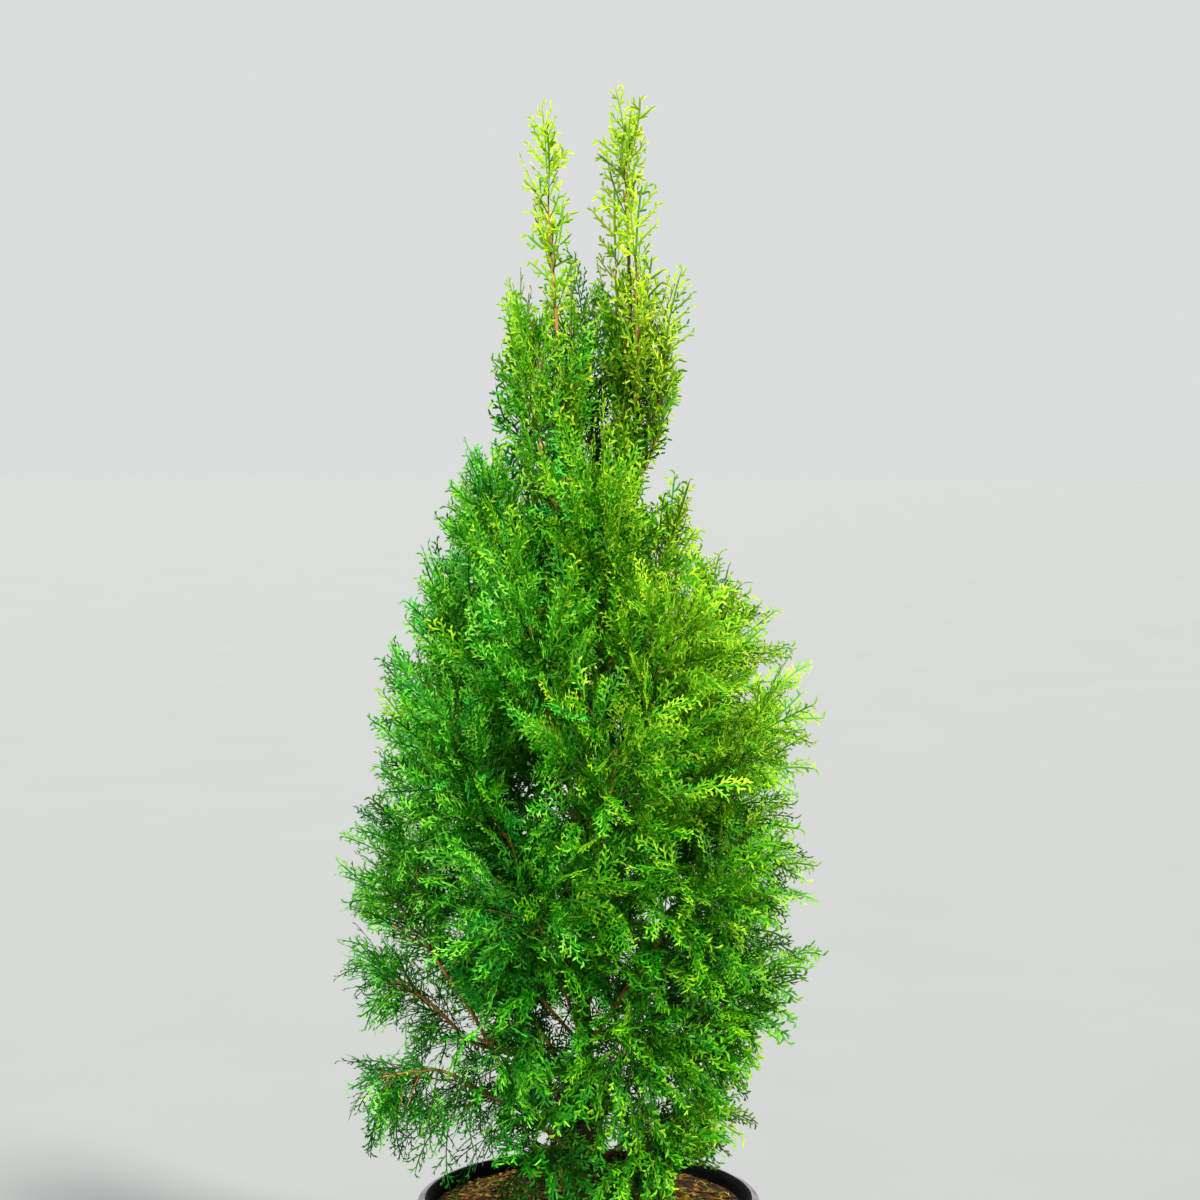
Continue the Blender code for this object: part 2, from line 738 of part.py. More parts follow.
def tier_line(plant, tier, bearing, shift):
    """The line of a tier's bough and stem, and the direction of its first cut."""
    out = bearing_vector(bearing)
    reach = reach_at(tier.tip, math.radians(bearing)) * STEM_REACH
    tip = above_compost(tier.tip, out.x * reach, out.y * reach)
    foot, cut = plant.foot_on_side("trunk", plant.share_at_height("trunk", tier.foot + shift), tip)
    return arch(foot, rising(out, tier.leave), tip, rising(out, tier.arrive), BOUGH_POINTS), cut


def add_tier_mass(plant, tier, name, bearing):
    """A mass of a tier, on a bare bough where the tier has them, moved a little where its way is blocked."""
    for shift in SHIFTS:
        for turn in TURNS:
            line, cut = tier_line(plant, tier, bearing + turn, shift)
            if tier.bare:
                end = round(tier.bare * (BOUGH_POINTS - 1))
                radii = [mix(BOUGH_R, STEM_R, i / end) for i in range(end + 1)]
                if not plant.is_clear(sweep(line[: end + 1], radii, BOUGH_SIDES, cut)):
                    continue
                plant.add_limb("bough_" + name, line[: end + 1], radii, BOUGH_SIDES, cut, BARK_COLOUR)
                foot, cut = plant.foot_on_end("bough_" + name)
                line = [foot] + line[end + 2 :]
            stem = [through(line, i / (STEM_POINTS - 1)) for i in range(STEM_POINTS)]
            if plant.add_mass(Mass("foliage_" + name, stem, cut, tier.sprays)):
                return True
            if tier.bare:
                return False
    return False


def build():
    for old in list(bpy.data.objects):
        bpy.data.objects.remove(old)
    random.seed(SEED)
    collection = bpy.data.collections.new("potted_thuja")
    bpy.context.scene.collection.children.link(collection)
    plant = Plant(collection)

    for name, section, colour in (
        ("pot", pot_section(), POT_COLOUR),
        ("compost", compost_section(), COMPOST_COLOUR),
    ):
        made = turned(name, section, collection)
        finish(made, *colour, True)
        plant.stand(name, evaluated_shape(made))

    add_trunk(plant)
    add_leader(plant, "leader_left", LEFT_LEADER_LINE)
    add_leader(plant, "leader_side", SIDE_LEADER_LINE)
    stood = [add_left_bough(plant, row) for row in LEFT_BOUGHS]
    stood += [add_upright(plant, row) for row in UPRIGHTS]
    for tier in TIERS:
        for number, bearing in enumerate(tier.bearings, 1):
            stood.append(add_tier_mass(plant, tier, f"{tier.name}_{number}", bearing))
    if not all(stood):
        raise ValueError("a mass's stem has no clear way")
    plant.grow()
    for mass in plant.masses:
        plant.join(mass)


build()
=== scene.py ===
"""The looks of the potted thuja: barked limbs, twigs, sprays of scale leaves, and the pot and its compost.

Metres, +Z up. +X is the plant's right and -Y its front. Heights are above the compost, and bearings are in
degrees, with 0 to the right, 90 to the back and 270 to the front.
"""

from collections import namedtuple
from math import atan2, cos, exp, hypot, pi, prod, radians, sin, sqrt, tan

import bpy
import numpy as np
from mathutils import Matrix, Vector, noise


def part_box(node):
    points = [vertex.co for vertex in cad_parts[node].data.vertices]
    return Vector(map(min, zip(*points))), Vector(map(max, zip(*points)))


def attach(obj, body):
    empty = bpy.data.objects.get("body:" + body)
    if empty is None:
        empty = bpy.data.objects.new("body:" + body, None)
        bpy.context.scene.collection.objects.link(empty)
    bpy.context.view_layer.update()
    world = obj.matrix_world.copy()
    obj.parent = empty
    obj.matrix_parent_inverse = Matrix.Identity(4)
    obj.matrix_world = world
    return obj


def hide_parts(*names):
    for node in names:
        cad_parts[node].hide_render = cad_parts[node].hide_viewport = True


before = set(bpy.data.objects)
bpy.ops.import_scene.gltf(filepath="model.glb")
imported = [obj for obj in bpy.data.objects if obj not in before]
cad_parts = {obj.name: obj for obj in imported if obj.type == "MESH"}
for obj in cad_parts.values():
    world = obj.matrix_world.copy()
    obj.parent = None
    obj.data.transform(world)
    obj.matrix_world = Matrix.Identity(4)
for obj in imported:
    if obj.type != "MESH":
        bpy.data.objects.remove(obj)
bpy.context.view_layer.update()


def table(fields, *rows):
    """A table's rows as named tuples."""
    row = namedtuple("Row", fields)
    return [row(*values) for values in rows]


SEED = 12
UP = np.array((0.0, 0.0, 1.0))

# Pot
POT_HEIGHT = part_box("pot")[1].z
LIP_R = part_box("pot")[1].x
POT_BASE_R = 0.106
POT_FLOOR = 0.003
POT_WALL = 0.0026
POT_STEPS = 112
MOUTH_R = 0.1285
MOUTH_DROP = 0.006
LIP_WIDTH = 0.009
LIP_POINTS = 28
LIP_RIDGES = 3
RIDGE_RISE = 0.0005
LIP_SLOPE = 0.0032
LIP_IN_DROP = 0.0022
LIP_EDGE_DROP = 0.0016
LIP_ROUND = 0.35
COLLAR_DROP = 0.015
COLLAR_WALL = 0.002
BEVEL = 0.0006
WALL_POINTS = 60
WALL_ENDS = 0.004
BODY_BANDS = (0.030, 0.150, 0.196)
BAND_RISE = 0.0006
BAND_HALF = 0.0022
# The foot, as (distance out from the base's radius, height)
POT_FOOT = ((0.0008, 0.0016), (0.0, 0.0), (-0.006, 0.0), (-0.007, 0.0012))

# Compost, and how far sprays stay above it and the lip
COMPOST_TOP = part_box("trunk")[0].z
COMPOST_RISE = 0.0105
COMPOST_HEAP = 0.0055
HEAP_FOOT_R = 0.122
HEAP_SLOPE = 0.055
COMPOST_EDGE = MOUTH_R - 0.0012
COMPOST_RINGS = 48
COMPOST_SIDE = (MOUTH_R - 0.0036, COMPOST_TOP - 0.012)
COMPOST_UNDER = POT_FLOOR + 0.0004
# Its lumps: waves to the metre, height and place in the noise
LUMPS = ((38, 0.0022, 0.3), (120, 0.0014, 4.1))
CALM_R = 0.13
SPRAY_CLEAR = 0.003
LIP_CLEAR = 0.0015
LIP_PLAY = 0.002

# Upright limbs: (height, sideways, depthways) of the points that each one's line passes
TRUNK_LINE = (
    (0.00, 0.003, 0.000), (0.10, 0.000, 0.002), (0.20, -0.005, 0.003), (0.32, -0.004, 0.000),
    (0.42, 0.003, -0.003), (0.50, 0.018, -0.002), (0.58, 0.036, 0.002), (0.66, 0.038, 0.003),
    (0.73, 0.034, 0.001), (0.80, 0.032, 0.000),
)
TRUNK_BASE_R = 0.0080
TRUNK_TIP_R = 0.0013
TRUNK_TAPER = 0.85
FLARE_R = 0.0065
FLARE_HEIGHT = 0.006
LEFT_LEADER_LINE = (
    (0.415, -0.004, -0.004), (0.45, -0.010, -0.009), (0.52, -0.017, -0.013), (0.59, -0.020, -0.013),
    (0.65, -0.022, -0.011), (0.72, -0.025, -0.008),
)
SIDE_LEADER_LINE = (
    (0.455, -0.006, 0.008), (0.49, -0.018, 0.014), (0.54, -0.032, 0.016), (0.60, -0.044, 0.014),
)
LEADER_BASE_R = 0.0040
LEADER_TIP_R = 0.0012

# The crown's outline: (height, reach to the left, reach to the right)
CROWN_OUTLINE = (
    (0.000, 0.140, 0.105), (0.068, 0.173, 0.118), (0.109, 0.189, 0.130), (0.191, 0.197, 0.171),
    (0.273, 0.193, 0.182), (0.354, 0.198, 0.184), (0.435, 0.177, 0.178), (0.461, 0.170, 0.182),
    (0.493, 0.157, 0.160), (0.525, 0.142, 0.120), (0.557, 0.130, 0.090), (0.596, 0.113, 0.072),
    (0.625, 0.102, 0.054), (0.676, 0.084, 0.077), (0.755, 0.068, 0.079),
)

# How a kind of mass grows: its twigs, the longest of them, their fork, the longest spray, the sprays' fork, the
# sprays to the metre of a twig, and their kind
Growth = namedtuple("Growth", "twigs twig fork spray spread close kind")
BODY = Growth(30, 0.078, 48, 0.052, 40, 115, "fan")
LOW = Growth(20, 0.078, 48, 0.052, 40, 98, "foot")
LEFT = Growth(24, 0.050, 52, 0.042, 44, 100, "fine")
LEFT_LOW = Growth(32, 0.064, 56, 0.044, 44, 90, "fine")
LEFT_FULL = Growth(23, 0.062, 50, 0.044, 42, 100, "fan")
NECK = Growth(16, 0.044, 36, 0.040, 38, 92, "neck")
TOP = Growth(9, 0.015, 34, 0.029, 40, 115, "tip")

# Tiers of masses round the trunk: bearings, heights of the stem's foot and tip, its rise in degrees there, and
# the share of its line that is a bare bough
TIERS = table(
    "name bearings foot tip leave arrive bare",
    ("skirt", (242, 305, 10, 95), 0.045, 0.075, 42, -25, 0.40),
    ("low", (222, 288, 345, 50, 125), 0.085, 0.175, 45, 12, 0.40),
    ("middle", (180, 250, 312, 20, 95), 0.150, 0.285, 48, 38, 0.0),
    ("broad", (150, 215, 280, 345, 60), 0.235, 0.405, 50, 62, 0.0),
    ("upper", (178, 245, 310, 8, 95), 0.330, 0.500, 50, 62, 0.0),
    ("neck", (186, 285, 85), 0.430, 0.590, 52, 64, 0.0),
)
STEM_REACH = 0.70
TIER_POINTS = 30
BOUGH_TWIGS = 6
LEFT_BOUGH_TWIGS = 18
LEFT_BOUGH_LEAVE = 30
LEFT_BOUGH_TAPER = 0.4
STEM_POINTS = 9

# Boughs low on the left: limb, place on it, (height, sideways, depthways) of the bough's and the mass's tips, and
# the mass's growth
LEFT_BOUGHS = table(
    "name limb place end tip growth",
    ("left", "trunk", 0.055, (0.205, -0.112, -0.020), (0.270, -0.150, -0.022), LEFT_FULL),
    ("left_arm", "bough_left", 0.66, (0.188, -0.128, -0.030), (0.212, -0.162, -0.034), LEFT),
    ("left_low", "bough_left", 0.34, (0.136, -0.112, -0.052), (0.134, -0.168, -0.058), LEFT_LOW),
)

# Uprights in the crown's top: limb and height of the foot, (height, sideways, depthways) of the stem's tip, the
# height where the last spray ends, and the radius of the mass's own space
UPRIGHTS = table(
    "name limb foot tip top radius",
    ("right_tip", "trunk", 0.800, (0.862, 0.030, -0.001), 0.922, 0.029),
    ("right_front", "trunk", 0.660, (0.780, 0.038, -0.020), 0.845, 0.024),
    ("right_back", "trunk", 0.640, (0.780, 0.022, 0.020), 0.850, 0.024),
    ("right_arm", "trunk", 0.610, (0.700, 0.060, -0.004), 0.785, 0.032),
    ("left_tip", "leader_left", 0.720, (0.835, -0.032, -0.006), 0.908, 0.029),
    ("left_front", "leader_left", 0.580, (0.720, -0.040, -0.024), 0.795, 0.036),
    ("left_back", "leader_left", 0.600, (0.730, -0.014, 0.010), 0.785, 0.036),
    ("side_tip", "leader_side", 0.600, (0.715, -0.056, 0.011), 0.800, 0.038),
    ("back_top", "trunk", 0.540, (0.690, 0.000, 0.040), 0.795, 0.046),
    ("shoulder", "trunk", 0.455, (0.560, 0.066, 0.002), 0.618, 0.036),
    ("front_top", "trunk", 0.490, (0.580, 0.012, -0.052), 0.680, 0.058),
)
# How much wider than its radius an upright's space is, low down and high up: (height, share)
WIDE = (0.64, 1.5)
SLIM = (0.80, 0.95)
UPRIGHT_LEAVE = 1.2
SLIM_UPRIGHT = 0.03
# The leaders' long strands: how much longer than their other twigs, and the share of these
STRAND = 2.6
STRAND_SHARE = 0.3

# Stretches of the upright limbs that carry twigs of their own, in the top and to close the crown's inside: piece,
# limb, heights from and to, points, growth, twigs, height where the last spray ends, and how far the sprays reach
STRETCHES = table(
    "piece limb low high points growth twigs top radius",
    ("top", "trunk", 0.50, 0.74, 16, NECK, 34, 0.79, 0.052),
    ("top", "trunk", 0.56, 0.66, 16, NECK, 20, 0.70, 0.028),
    ("top", "leader_left", 0.46, 0.69, 16, NECK, 24, 0.76, 0.046),
    ("top", "leader_side", 0.49, 0.60, 16, NECK, 20, 0.72, 0.050),
    ("low", "trunk", 0.035, 0.175, 12, LOW, 54, None, None),
    ("middle", "trunk", 0.16, 0.31, 12, LOW, 30, None, None),
    ("broad", "trunk", 0.31, 0.47, 12, LOW, 28, None, None),
)

# How far the crown's narrow top reaches: (height, to the left, to the right)
TOP_OUTLINE = (
    (0.500, 0.155, 0.136), (0.530, 0.142, 0.112), (0.557, 0.130, 0.092), (0.596, 0.112, 0.080),
    (0.614, 0.104, 0.075), (0.626, 0.102, 0.052), (0.653, 0.106, 0.064), (0.685, 0.092, 0.074),
    (0.716, 0.066, 0.068), (0.748, 0.068, 0.076), (0.775, 0.060, 0.068), (0.790, 0.056, 0.050),
    (0.811, 0.054, 0.042), (0.843, 0.056, 0.040), (0.874, 0.058, 0.050), (0.905, 0.042, 0.050),
    (0.930, 0.036, 0.040),
)
# Open places, where the photo shows sky or the dark inside: how far back they go, and (height, sideways, radius)
GAPS = {
    1.0: (
        (0.650, 0.092, 0.017), (0.628, 0.070, 0.014), (0.608, 0.054, 0.012), (0.590, 0.048, 0.008),
        (0.762, -0.039, 0.007), (0.744, -0.041, 0.006), (0.679, -0.073, 0.005), (0.640, -0.070, 0.005),
        (0.156, -0.158, 0.014), (0.170, -0.182, 0.010), (0.240, -0.168, 0.010), (0.240, -0.100, 0.009),
        (0.088, -0.098, 0.013), (0.070, -0.062, 0.010),
    ),
    -0.02: (
        (0.142, -0.072, 0.010), (0.166, -0.086, 0.010), (0.190, -0.101, 0.010), (0.222, -0.117, 0.009),
    ),
    -0.03: ((0.372, -0.010, 0.006),),
}
# The body's reach to the left where only the long left boughs go further: (height, reach)
LEFT_BODY_REACH = (
    (0.030, 0.055), (0.106, 0.075), (0.138, 0.090), (0.166, 0.115), (0.190, 0.128), (0.223, 0.145),
    (0.250, 0.170), (0.290, 0.200),
)
# The lowest that the body's sprays hang over the pot's middle, from the left to the right: (sideways, height). It
# rises toward the front, and a share of the sprays hang lower
HANG = (
    (-0.14, 0.050), (-0.04, 0.055), (-0.01, 0.012), (0.02, 0.000), (0.06, -0.010), (0.08, 0.055), (0.14, 0.060),
)
HANG_TILT = 0.28
LOW_HANG = 0.018
LOW_SHARE = 0.12
LEFT_LOW_SHARE = 0.22
LEFT_LOW_FROM = -0.04
ROOM_STEPS = 40
LEAST_CLIMB = 0.2

# Limbs and twigs
BOUGH_R = 0.0034
LEFT_BOUGH_R = 0.0025
STEM_R = 0.0019
LEFT_STEM_R = 0.0014
STEM_TIP_R = 0.0006
TWIG_R = 0.0007
TWIG_TIP_R = 0.0003
YOUNG_TWIGS = 0.4
GOLDEN_TURN = 137.5
TWIG_SPAN = (0.12, 0.96)
TRIES = 16
STRAY_SHARE = 0.12
STRAY_TURN = 70
STRAY_FORK = 16
STRAY_ROLL = 48
TWIG_POINTS = 6
TWIG_LEAST = 0.008
TWIG_LENGTHS = (0.7, 1.0)
TWIG_SAG = 0.25
# A twig leaves this much of a spray's length free at its end, and isn't grown where it and the room are too short
SPRAY_ROOM = (0.6, 0.9)
SHORT_TWIG = 0.3
SHORT_SPRAY = 0.6

# Sprays droop at the foot of the crown and rise from here up: (height, pull), (height, bend in degrees)
DROOP = (0.14, -0.40)
LIFT = (0.50, 0.50)
DROOP_BEND = (0.18, -58)
LIFT_BEND = (0.54, 10)
BEND_LENGTH = 0.07
SIDE_TILT = 0.55
# The twigs of the lowest left boughs hang more: how much, and the height below which they do
LEFT_HANG = 0.24
LEFT_HANG_FROM = 0.20
LEFT_HANG_FADE = 0.06
CUP = 1.0
# A spray lies level in the lower crown and stands on edge in the upper: (height, roll in degrees)
LEVEL = (0.20, 42)
ON_EDGE = (0.48, 70)

# Sprays along a twig: where they stand, how they stray in degrees, and their lengths as shares of the growth's
SPRAY_SPAN = (0.12, 0.92)
SPREAD_STRAY = 10
SPRAY_TWIST = 35
END_SPRAY = (0.9, 1.3)
SIDE_SPRAY = (0.55, 1.1)
BEND_STRAY = 8

# Shoots
SHOOT_RIDGE = 0.28
FINGER_END = 0.8
FINGER_TAPER = 0.75
KITE_WIDEST = 0.42
SPRAY_LEAST = 0.018
SPRAY_LEAST_SHARE = 0.42
REACH_JITTER = (0.92, 1.08)
SPACING_JITTER = (0.85, 1.15)
# Side shoots and last shoots: where they stand along the spray, how their lengths vary, and how they fork
SIDE_SPAN = (0.10, 0.96)
SIDE_JITTER = (0.65, 1.15)
SIDE_LEAST = 0.005
FORK_FADE = 8
LAST_FORK = 35
LAST_JITTER = (0.7, 1.2)
LAST_TAPER = (1.2, 0.75)
# The sprays' kinds: spacing of the side shoots, their fork, their reach as a share of the spray, spacing of the
# last shoots, their length, the width of a shoot, whether its end is blunt, and how many tones darker the axis is
Kind = namedtuple("Kind", "spacing fork reach close last width blunt darker")
KINDS = {
    "fan": Kind(0.0042, 38, 0.32, 0.0027, 0.0056, 0.0018, False, 2),
    "inner": Kind(0.0062, 40, 0.36, 0.0054, 0.0100, 0.0034, False, 2),
    "fine": Kind(0.0055, 40, 0.36, 0.0039, 0.0050, 0.0015, False, 2),
    "foot": Kind(0.0044, 38, 0.32, 0.0029, 0.0050, 0.0019, True, 2),
    "neck": Kind(0.0053, 42, 0.36, 0.0037, 0.0050, 0.0019, True, 2),
    "tip": Kind(0.0064, 42, 0.46, 0.0042, 0.0060, 0.0023, True, 1),
}
TEMPLATE_LENGTHS = (0.020, 0.030, 0.041, 0.053, 0.066, 0.084, 0.106)
TEMPLATE_SORTS = 8
INNER_SHARE = 0.62
INNER_LOW = 0.10
FRONT_COUNT = 1.6

# Leaf colours, in four families, each from the darkest, for painted shade deep in the crown, to the lightest, for
# its newest growth and painted sunlight: the crown's own, the fresher green of the left side, the bluish green
# that shows here and there on it, these two partly painted cool light from the left, and the gold of the top,
# partly painted warm sunlight
LEAF_TONES = (
    ("shade", (0.0018, 0.060, 0.0003)),
    ("deep", (0.0052, 0.110, 0.0005)),
    ("green", (0.0180, 0.165, 0.0008)),
    ("mid", (0.0440, 0.235, 0.0016)),
    ("fresh", (0.0950, 0.325, 0.0034)),
    ("bright", (0.1800, 0.425, 0.0070)),
    ("lime", (0.3050, 0.530, 0.0120)),
    ("yellow", (0.3900, 0.600, 0.0200)),
)
SPRING_TONES = (
    ("spring_shade", (0.0030, 0.085, 0.0006)),
    ("spring_deep", (0.0110, 0.160, 0.0014)),
    ("spring", (0.0380, 0.270, 0.0040)),
    ("spring_bright", (0.0900, 0.400, 0.0130)),
    ("spring_tip", (0.1900, 0.540, 0.0400)),
)
SEA_TONES = (
    ("sea_deep", (0.0040, 0.125, 0.0060)),
    ("sea", (0.0190, 0.265, 0.0150)),
    ("sea_bright", (0.0640, 0.440, 0.0360)),
)
GOLD_TONES = (
    ("gold_deep", (0.0520, 0.165, 0.0012)),
    ("gold", (0.1700, 0.340, 0.0030)),
    ("gold_bright", (0.3300, 0.500, 0.0080)),
    ("gold_tip", (0.4500, 0.610, 0.0280)),
)
ALL_TONES = LEAF_TONES + SPRING_TONES + SEA_TONES + GOLD_TONES
SPRING_FIRST = len(LEAF_TONES)
SEA_FIRST = SPRING_FIRST + len(SPRING_TONES)
GOLD_FIRST = SEA_FIRST + len(SEA_TONES)
FAMILIES = (0, SPRING_FIRST, SEA_FIRST, GOLD_FIRST, len(ALL_TONES))
# The crown's narrow top, whose inside gets painted shade
COLUMN_MIDDLE = -0.003
COLUMN_R = 0.085
# How much less the crown's front and back brighten toward their outside with painted light than its sides do
FRONT_SHADE = 0.8

# What a spray's place adds to its tone, or to the share of a family of colours there: how much, times the ramps
# that follow, each (measure, where it's 0, where it's 1). With these the crown's light and shade are painted into
# its leaf colours
BODY_TONE = 2.6
# Painted light toward the crown's outside, higher up and on its right, where the key sun stands; painted shade
# inside
BODY_PAINTED_LIGHT_AND_SHADE = (
    (1.60, ("outward", 0.45, 0.95)),
    (1.35, ("height", 0.28, 0.52)),
    (0.90, ("sideways", -0.02, 0.16), ("height", 0.20, 0.48)),
)
# Painted fill light on the left side above its foot, and painted shade in a low hollow just right of the middle
SIDE_PAINTED_LIGHT_AND_SHADE = (
    (0.40, ("sideways", -0.05, -0.13), ("height", 0.18, 0.26)),
    (-0.40, ("sideways", 0.00, 0.05), ("height", 0.34, 0.22)),
)
# The narrow top's painted light, toward its outside and its top, over painted shade in its inside
TOP_TONE = 3.8
TOP_PAINTED_LIGHT_AND_SHADE = ((1.9, ("aside", 0.0, 1.0)), (1.5, ("height", 0.68, 0.80)))
# Where the top turns gold, on its right and at its very top: its golden growth, partly painted warm sunlight
GOLD_AND_WARM_LIGHT_PLACES = (
    (0.85, ("height", 0.50, 0.64), ("sideways", -0.02, 0.05), ("aside", 0.0, 1 / 2.2)),
    (0.85, ("height", 0.72, 0.80)),
)
# The left side's fresher and bluish greens, set a little darker there by LEFT_SHIFT: partly the leaves' own
# greens, partly painted cool light from the left, away from the key sun
LEFT_GREEN_AND_COOL_LIGHT = ((1.0, ("sideways", 0.02, -0.08), ("height", 0.74, 0.54)),)
SEA_GREEN_AND_COOL_LIGHT = ((0.14, ("height", 0.06, 0.18)),)
SPRING_SHARE = 0.90
# How much lower a family's index is than the tone that it stands for
GOLD_SHIFT = 1.2
SEA_SHIFT = 0.8
SPRING_SHIFT = 1.3
LEFT_SHIFT = 1.2
TONE_STRAY = 0.6
GOLD_STRAY = 0.4
# Tones that a place sets: the left boughs' brightest below a height, a painted shade for all sprays below a height
# and left of a place, and a painted shade for the crown's back top
LEFT_MOST = (0.20, 3.6)
FOOT_PAINTED_SHADE = (0.09, 0.01, 1.5)
BACK_TOP_PAINTED_SHADE = 1.0

# Finishes: roughness, specular, the grain's scale and detail, where each colour stands along it (none for a plain
# colour), the bump's depth, the grain's stretch along Z, the bump's own scale and detail, and its strength
FINISH_FIELDS = "roughness specular scale detail places depth stretch own strength"
Finish = namedtuple("Finish", FINISH_FIELDS, defaults=(None, None, 1.0))
LEAF = Finish(0.46, 0.11, 620, 1.0, None, 0.0003, strength=0.5)
OLD_BARK = Finish(0.85, 0.20, 260, 6.0, (0.32, 0.70), 0.0006, stretch=0.10)
YOUNG_BARK = OLD_BARK._replace(scale=320)
PLASTIC = Finish(0.50, 0.50, 60, 5.0, (0.35, 0.75), 0.0001, own=(900, 2.0), strength=0.4)
LIP_PLASTIC = PLASTIC._replace(roughness=0.55)
INNER_PLASTIC = PLASTIC._replace(roughness=0.9, specular=0.08)
CRUMBS = Finish(0.95, 0.10, 140, 8.0, (0.38, 0.56, 0.76), 0.0015)
BITS = Finish(0.85, 0.12, 300, 3.0, (0.30, 0.70), 0.0004)
STUDIO = Finish(0.90, 0.50, 3.0, 4.0, (0.30, 0.70), 0.0)

Shape = namedtuple("Shape", "corners faces slots")
Limb = namedtuple("Limb", "line radii")
Mass = namedtuple("Mass", "name piece line growth top radius core", defaults=(None, None, None))
Twig = namedtuple("Twig", "line radii middle mass")
Template = namedtuple("Template", "length corners faces steps")


def mix(a, b, t):
    return a + (b - a) * t


def clamp(value, low=0.0, high=1.0):
    return min(max(value, low), high)


def ramp(height, low, high):
    """A value that goes from one (height, value) to another."""
    return mix(low[1], high[1], clamp((height - low[0]) / (high[0] - low[0])))


def stray(rng, most):
    """A random value up to this much to either side of 0."""
    return rng.uniform(-most, most)


def unit(vector):
    return vector / np.linalg.norm(vector, axis=-1, keepdims=True)


def turned(vector, axis, angle):
    """A vector or many, turned about a unit axis by one angle or one for each."""
    c = np.cos(angle)[..., None]
    s = np.sin(angle)[..., None]
    return vector * c + np.cross(axis, vector) * s + axis * (vector @ axis)[..., None] * (1 - c)


def square_to(way, other):
    """The unit vector square to way that lies nearest to another."""
    return unit(other - way * (way @ other))


def any_square(way):
    return square_to(way, np.eye(3)[np.argmin(np.abs(way))])


def bearing_vector(degrees):
    angle = radians(degrees)
    return np.array((cos(angle), sin(angle), 0.0))


def rising(out, degrees):
    return out + UP * tan(radians(degrees))


def above_compost(height, sideways, depthways):
    return np.array((sideways, depthways, COMPOST_TOP + height))


def height_of(point):
    """The height above the compost of a point, or of many that are transposed."""
    return point[2] - COMPOST_TOP


def through(points, t):
    """The point at t from 0 to 1 on the smooth curve that passes each of these."""
    last = len(points) - 1
    i = min(int(t * last), last - 1)
    u = t * last - i
    a, b, c, d = (points[int(clamp(i + k, 0, last))] for k in (-1, 0, 1, 2))
    bend = 2 * a - 5 * b + 4 * c - d
    return 0.5 * (2 * b + (c - a) * u + bend * u**2 + (3 * b - a - 3 * c + d) * u**3)


def way_at(points, t):
    return unit(through(points, min(t + 0.03, 1.0)) - through(points, max(t - 0.03, 0.0)))


def smooth_line(points, count, power=1.0):
    return np.array([through(points, (i / (count - 1)) ** power) for i in range(count)])


def arch(foot, leave, tip, arrive, count):
    """Points of a curve from foot to tip that leaves and arrives along these directions."""
    pull = np.linalg.norm(tip - foot) / 3
    corners = (foot, foot + unit(leave) * pull, tip - unit(arrive) * pull, tip)
    line = []
    for t in np.linspace(0, 1, count):
        weights = ((1 - t) ** 3, 3 * t * (1 - t) ** 2, 3 * t**2 * (1 - t), t**3)
        line.append(sum(w * c for w, c in zip(weights, corners)))
    return np.array(line)


def lifted_height(point):
    """A height that counts for more on the left, whose sprays rise from lower down than those on the right."""
    return height_of(point) - SIDE_TILT * point[0]


def sides_at(outline, height):
    """How far an outline reaches to the left and to the right at a height."""
    heights, lefts, rights = zip(*outline)
    return np.interp(height, heights, lefts), np.interp(height, heights, rights)


def reach_at(height, bearing):
    """How far the crown reaches from the pot's axis at a height, toward a bearing in radians."""
    left, right = sides_at(CROWN_OUTLINE, height)
    return (left + right) / 2 + (right - left) / 2 * np.cos(bearing)


def in_gaps(points):
    inside = np.zeros(len(points), bool)
    for back, gaps in GAPS.items():
        for height, sideways, radius in gaps:
            away = np.hypot(points[:, 0] - sideways, height_of(points.T) - height)
            inside |= (away < radius) & (points[:, 1] < back)
    return inside


def room_along(mass, root, along, most, wider=1.0, low=False):
    """How far a spray may reach from root before it leaves its mass's space, up to most."""
    if mass.radius:
        most = min(most, (mass.top - height_of(root)) / max(along[2], LEAST_CLIMB))
    steps = np.linspace(0, max(most, 0.0), ROOM_STEPS)
    points = root + steps[:, None] * along
    sideways, depthways, _ = points.T
    height = height_of(points.T)
    out = in_gaps(points)
    if mass.radius:
        away = points[:, None, :] - mass.core[None, :, :]
        widths = np.interp(height, *zip(WIDE, SLIM))
        out |= np.linalg.norm(away, axis=2).min(axis=1) > mass.radius * widths
        reach = np.where(sideways < 0, *sides_at(TOP_OUTLINE, height)) * wider
        out |= (height > TOP_OUTLINE[0][0]) & (np.abs(sideways) > reach)
    else:
        reach = reach_at(height, np.arctan2(depthways, sideways)) * wider
        out |= np.hypot(sideways, depthways) > reach
    if mass.growth in (BODY, LOW):
        out |= -sideways > np.interp(height, *zip(*LEFT_BODY_REACH)) * wider
        hang = np.interp(sideways, *zip(*HANG)) - HANG_TILT * depthways
        out |= height < (LOW_HANG if low else hang)
    return steps[np.argmax(out)] if out.any() else steps[-1]


# --- Limbs ---


def foot_on_side(limb, share, toward):
    """Where a limb starts that leaves another's side toward a point, and the direction in which it leaves."""
    place = share * (len(limb.line) - 1)
    i = min(int(place), len(limb.line) - 2)
    axis = mix(limb.line[i], limb.line[i + 1], place - i)
    out = square_to(unit(limb.line[i + 1] - limb.line[i]), toward - axis)
    return axis + out * mix(limb.radii[i], limb.radii[i + 1], place - i), out


def share_at_height(limb, height):
    """The share of an upright limb's line that lies below a height."""
    return np.interp(COMPOST_TOP + height, limb.line[:, 2], np.linspace(0, 1, len(limb.line)))


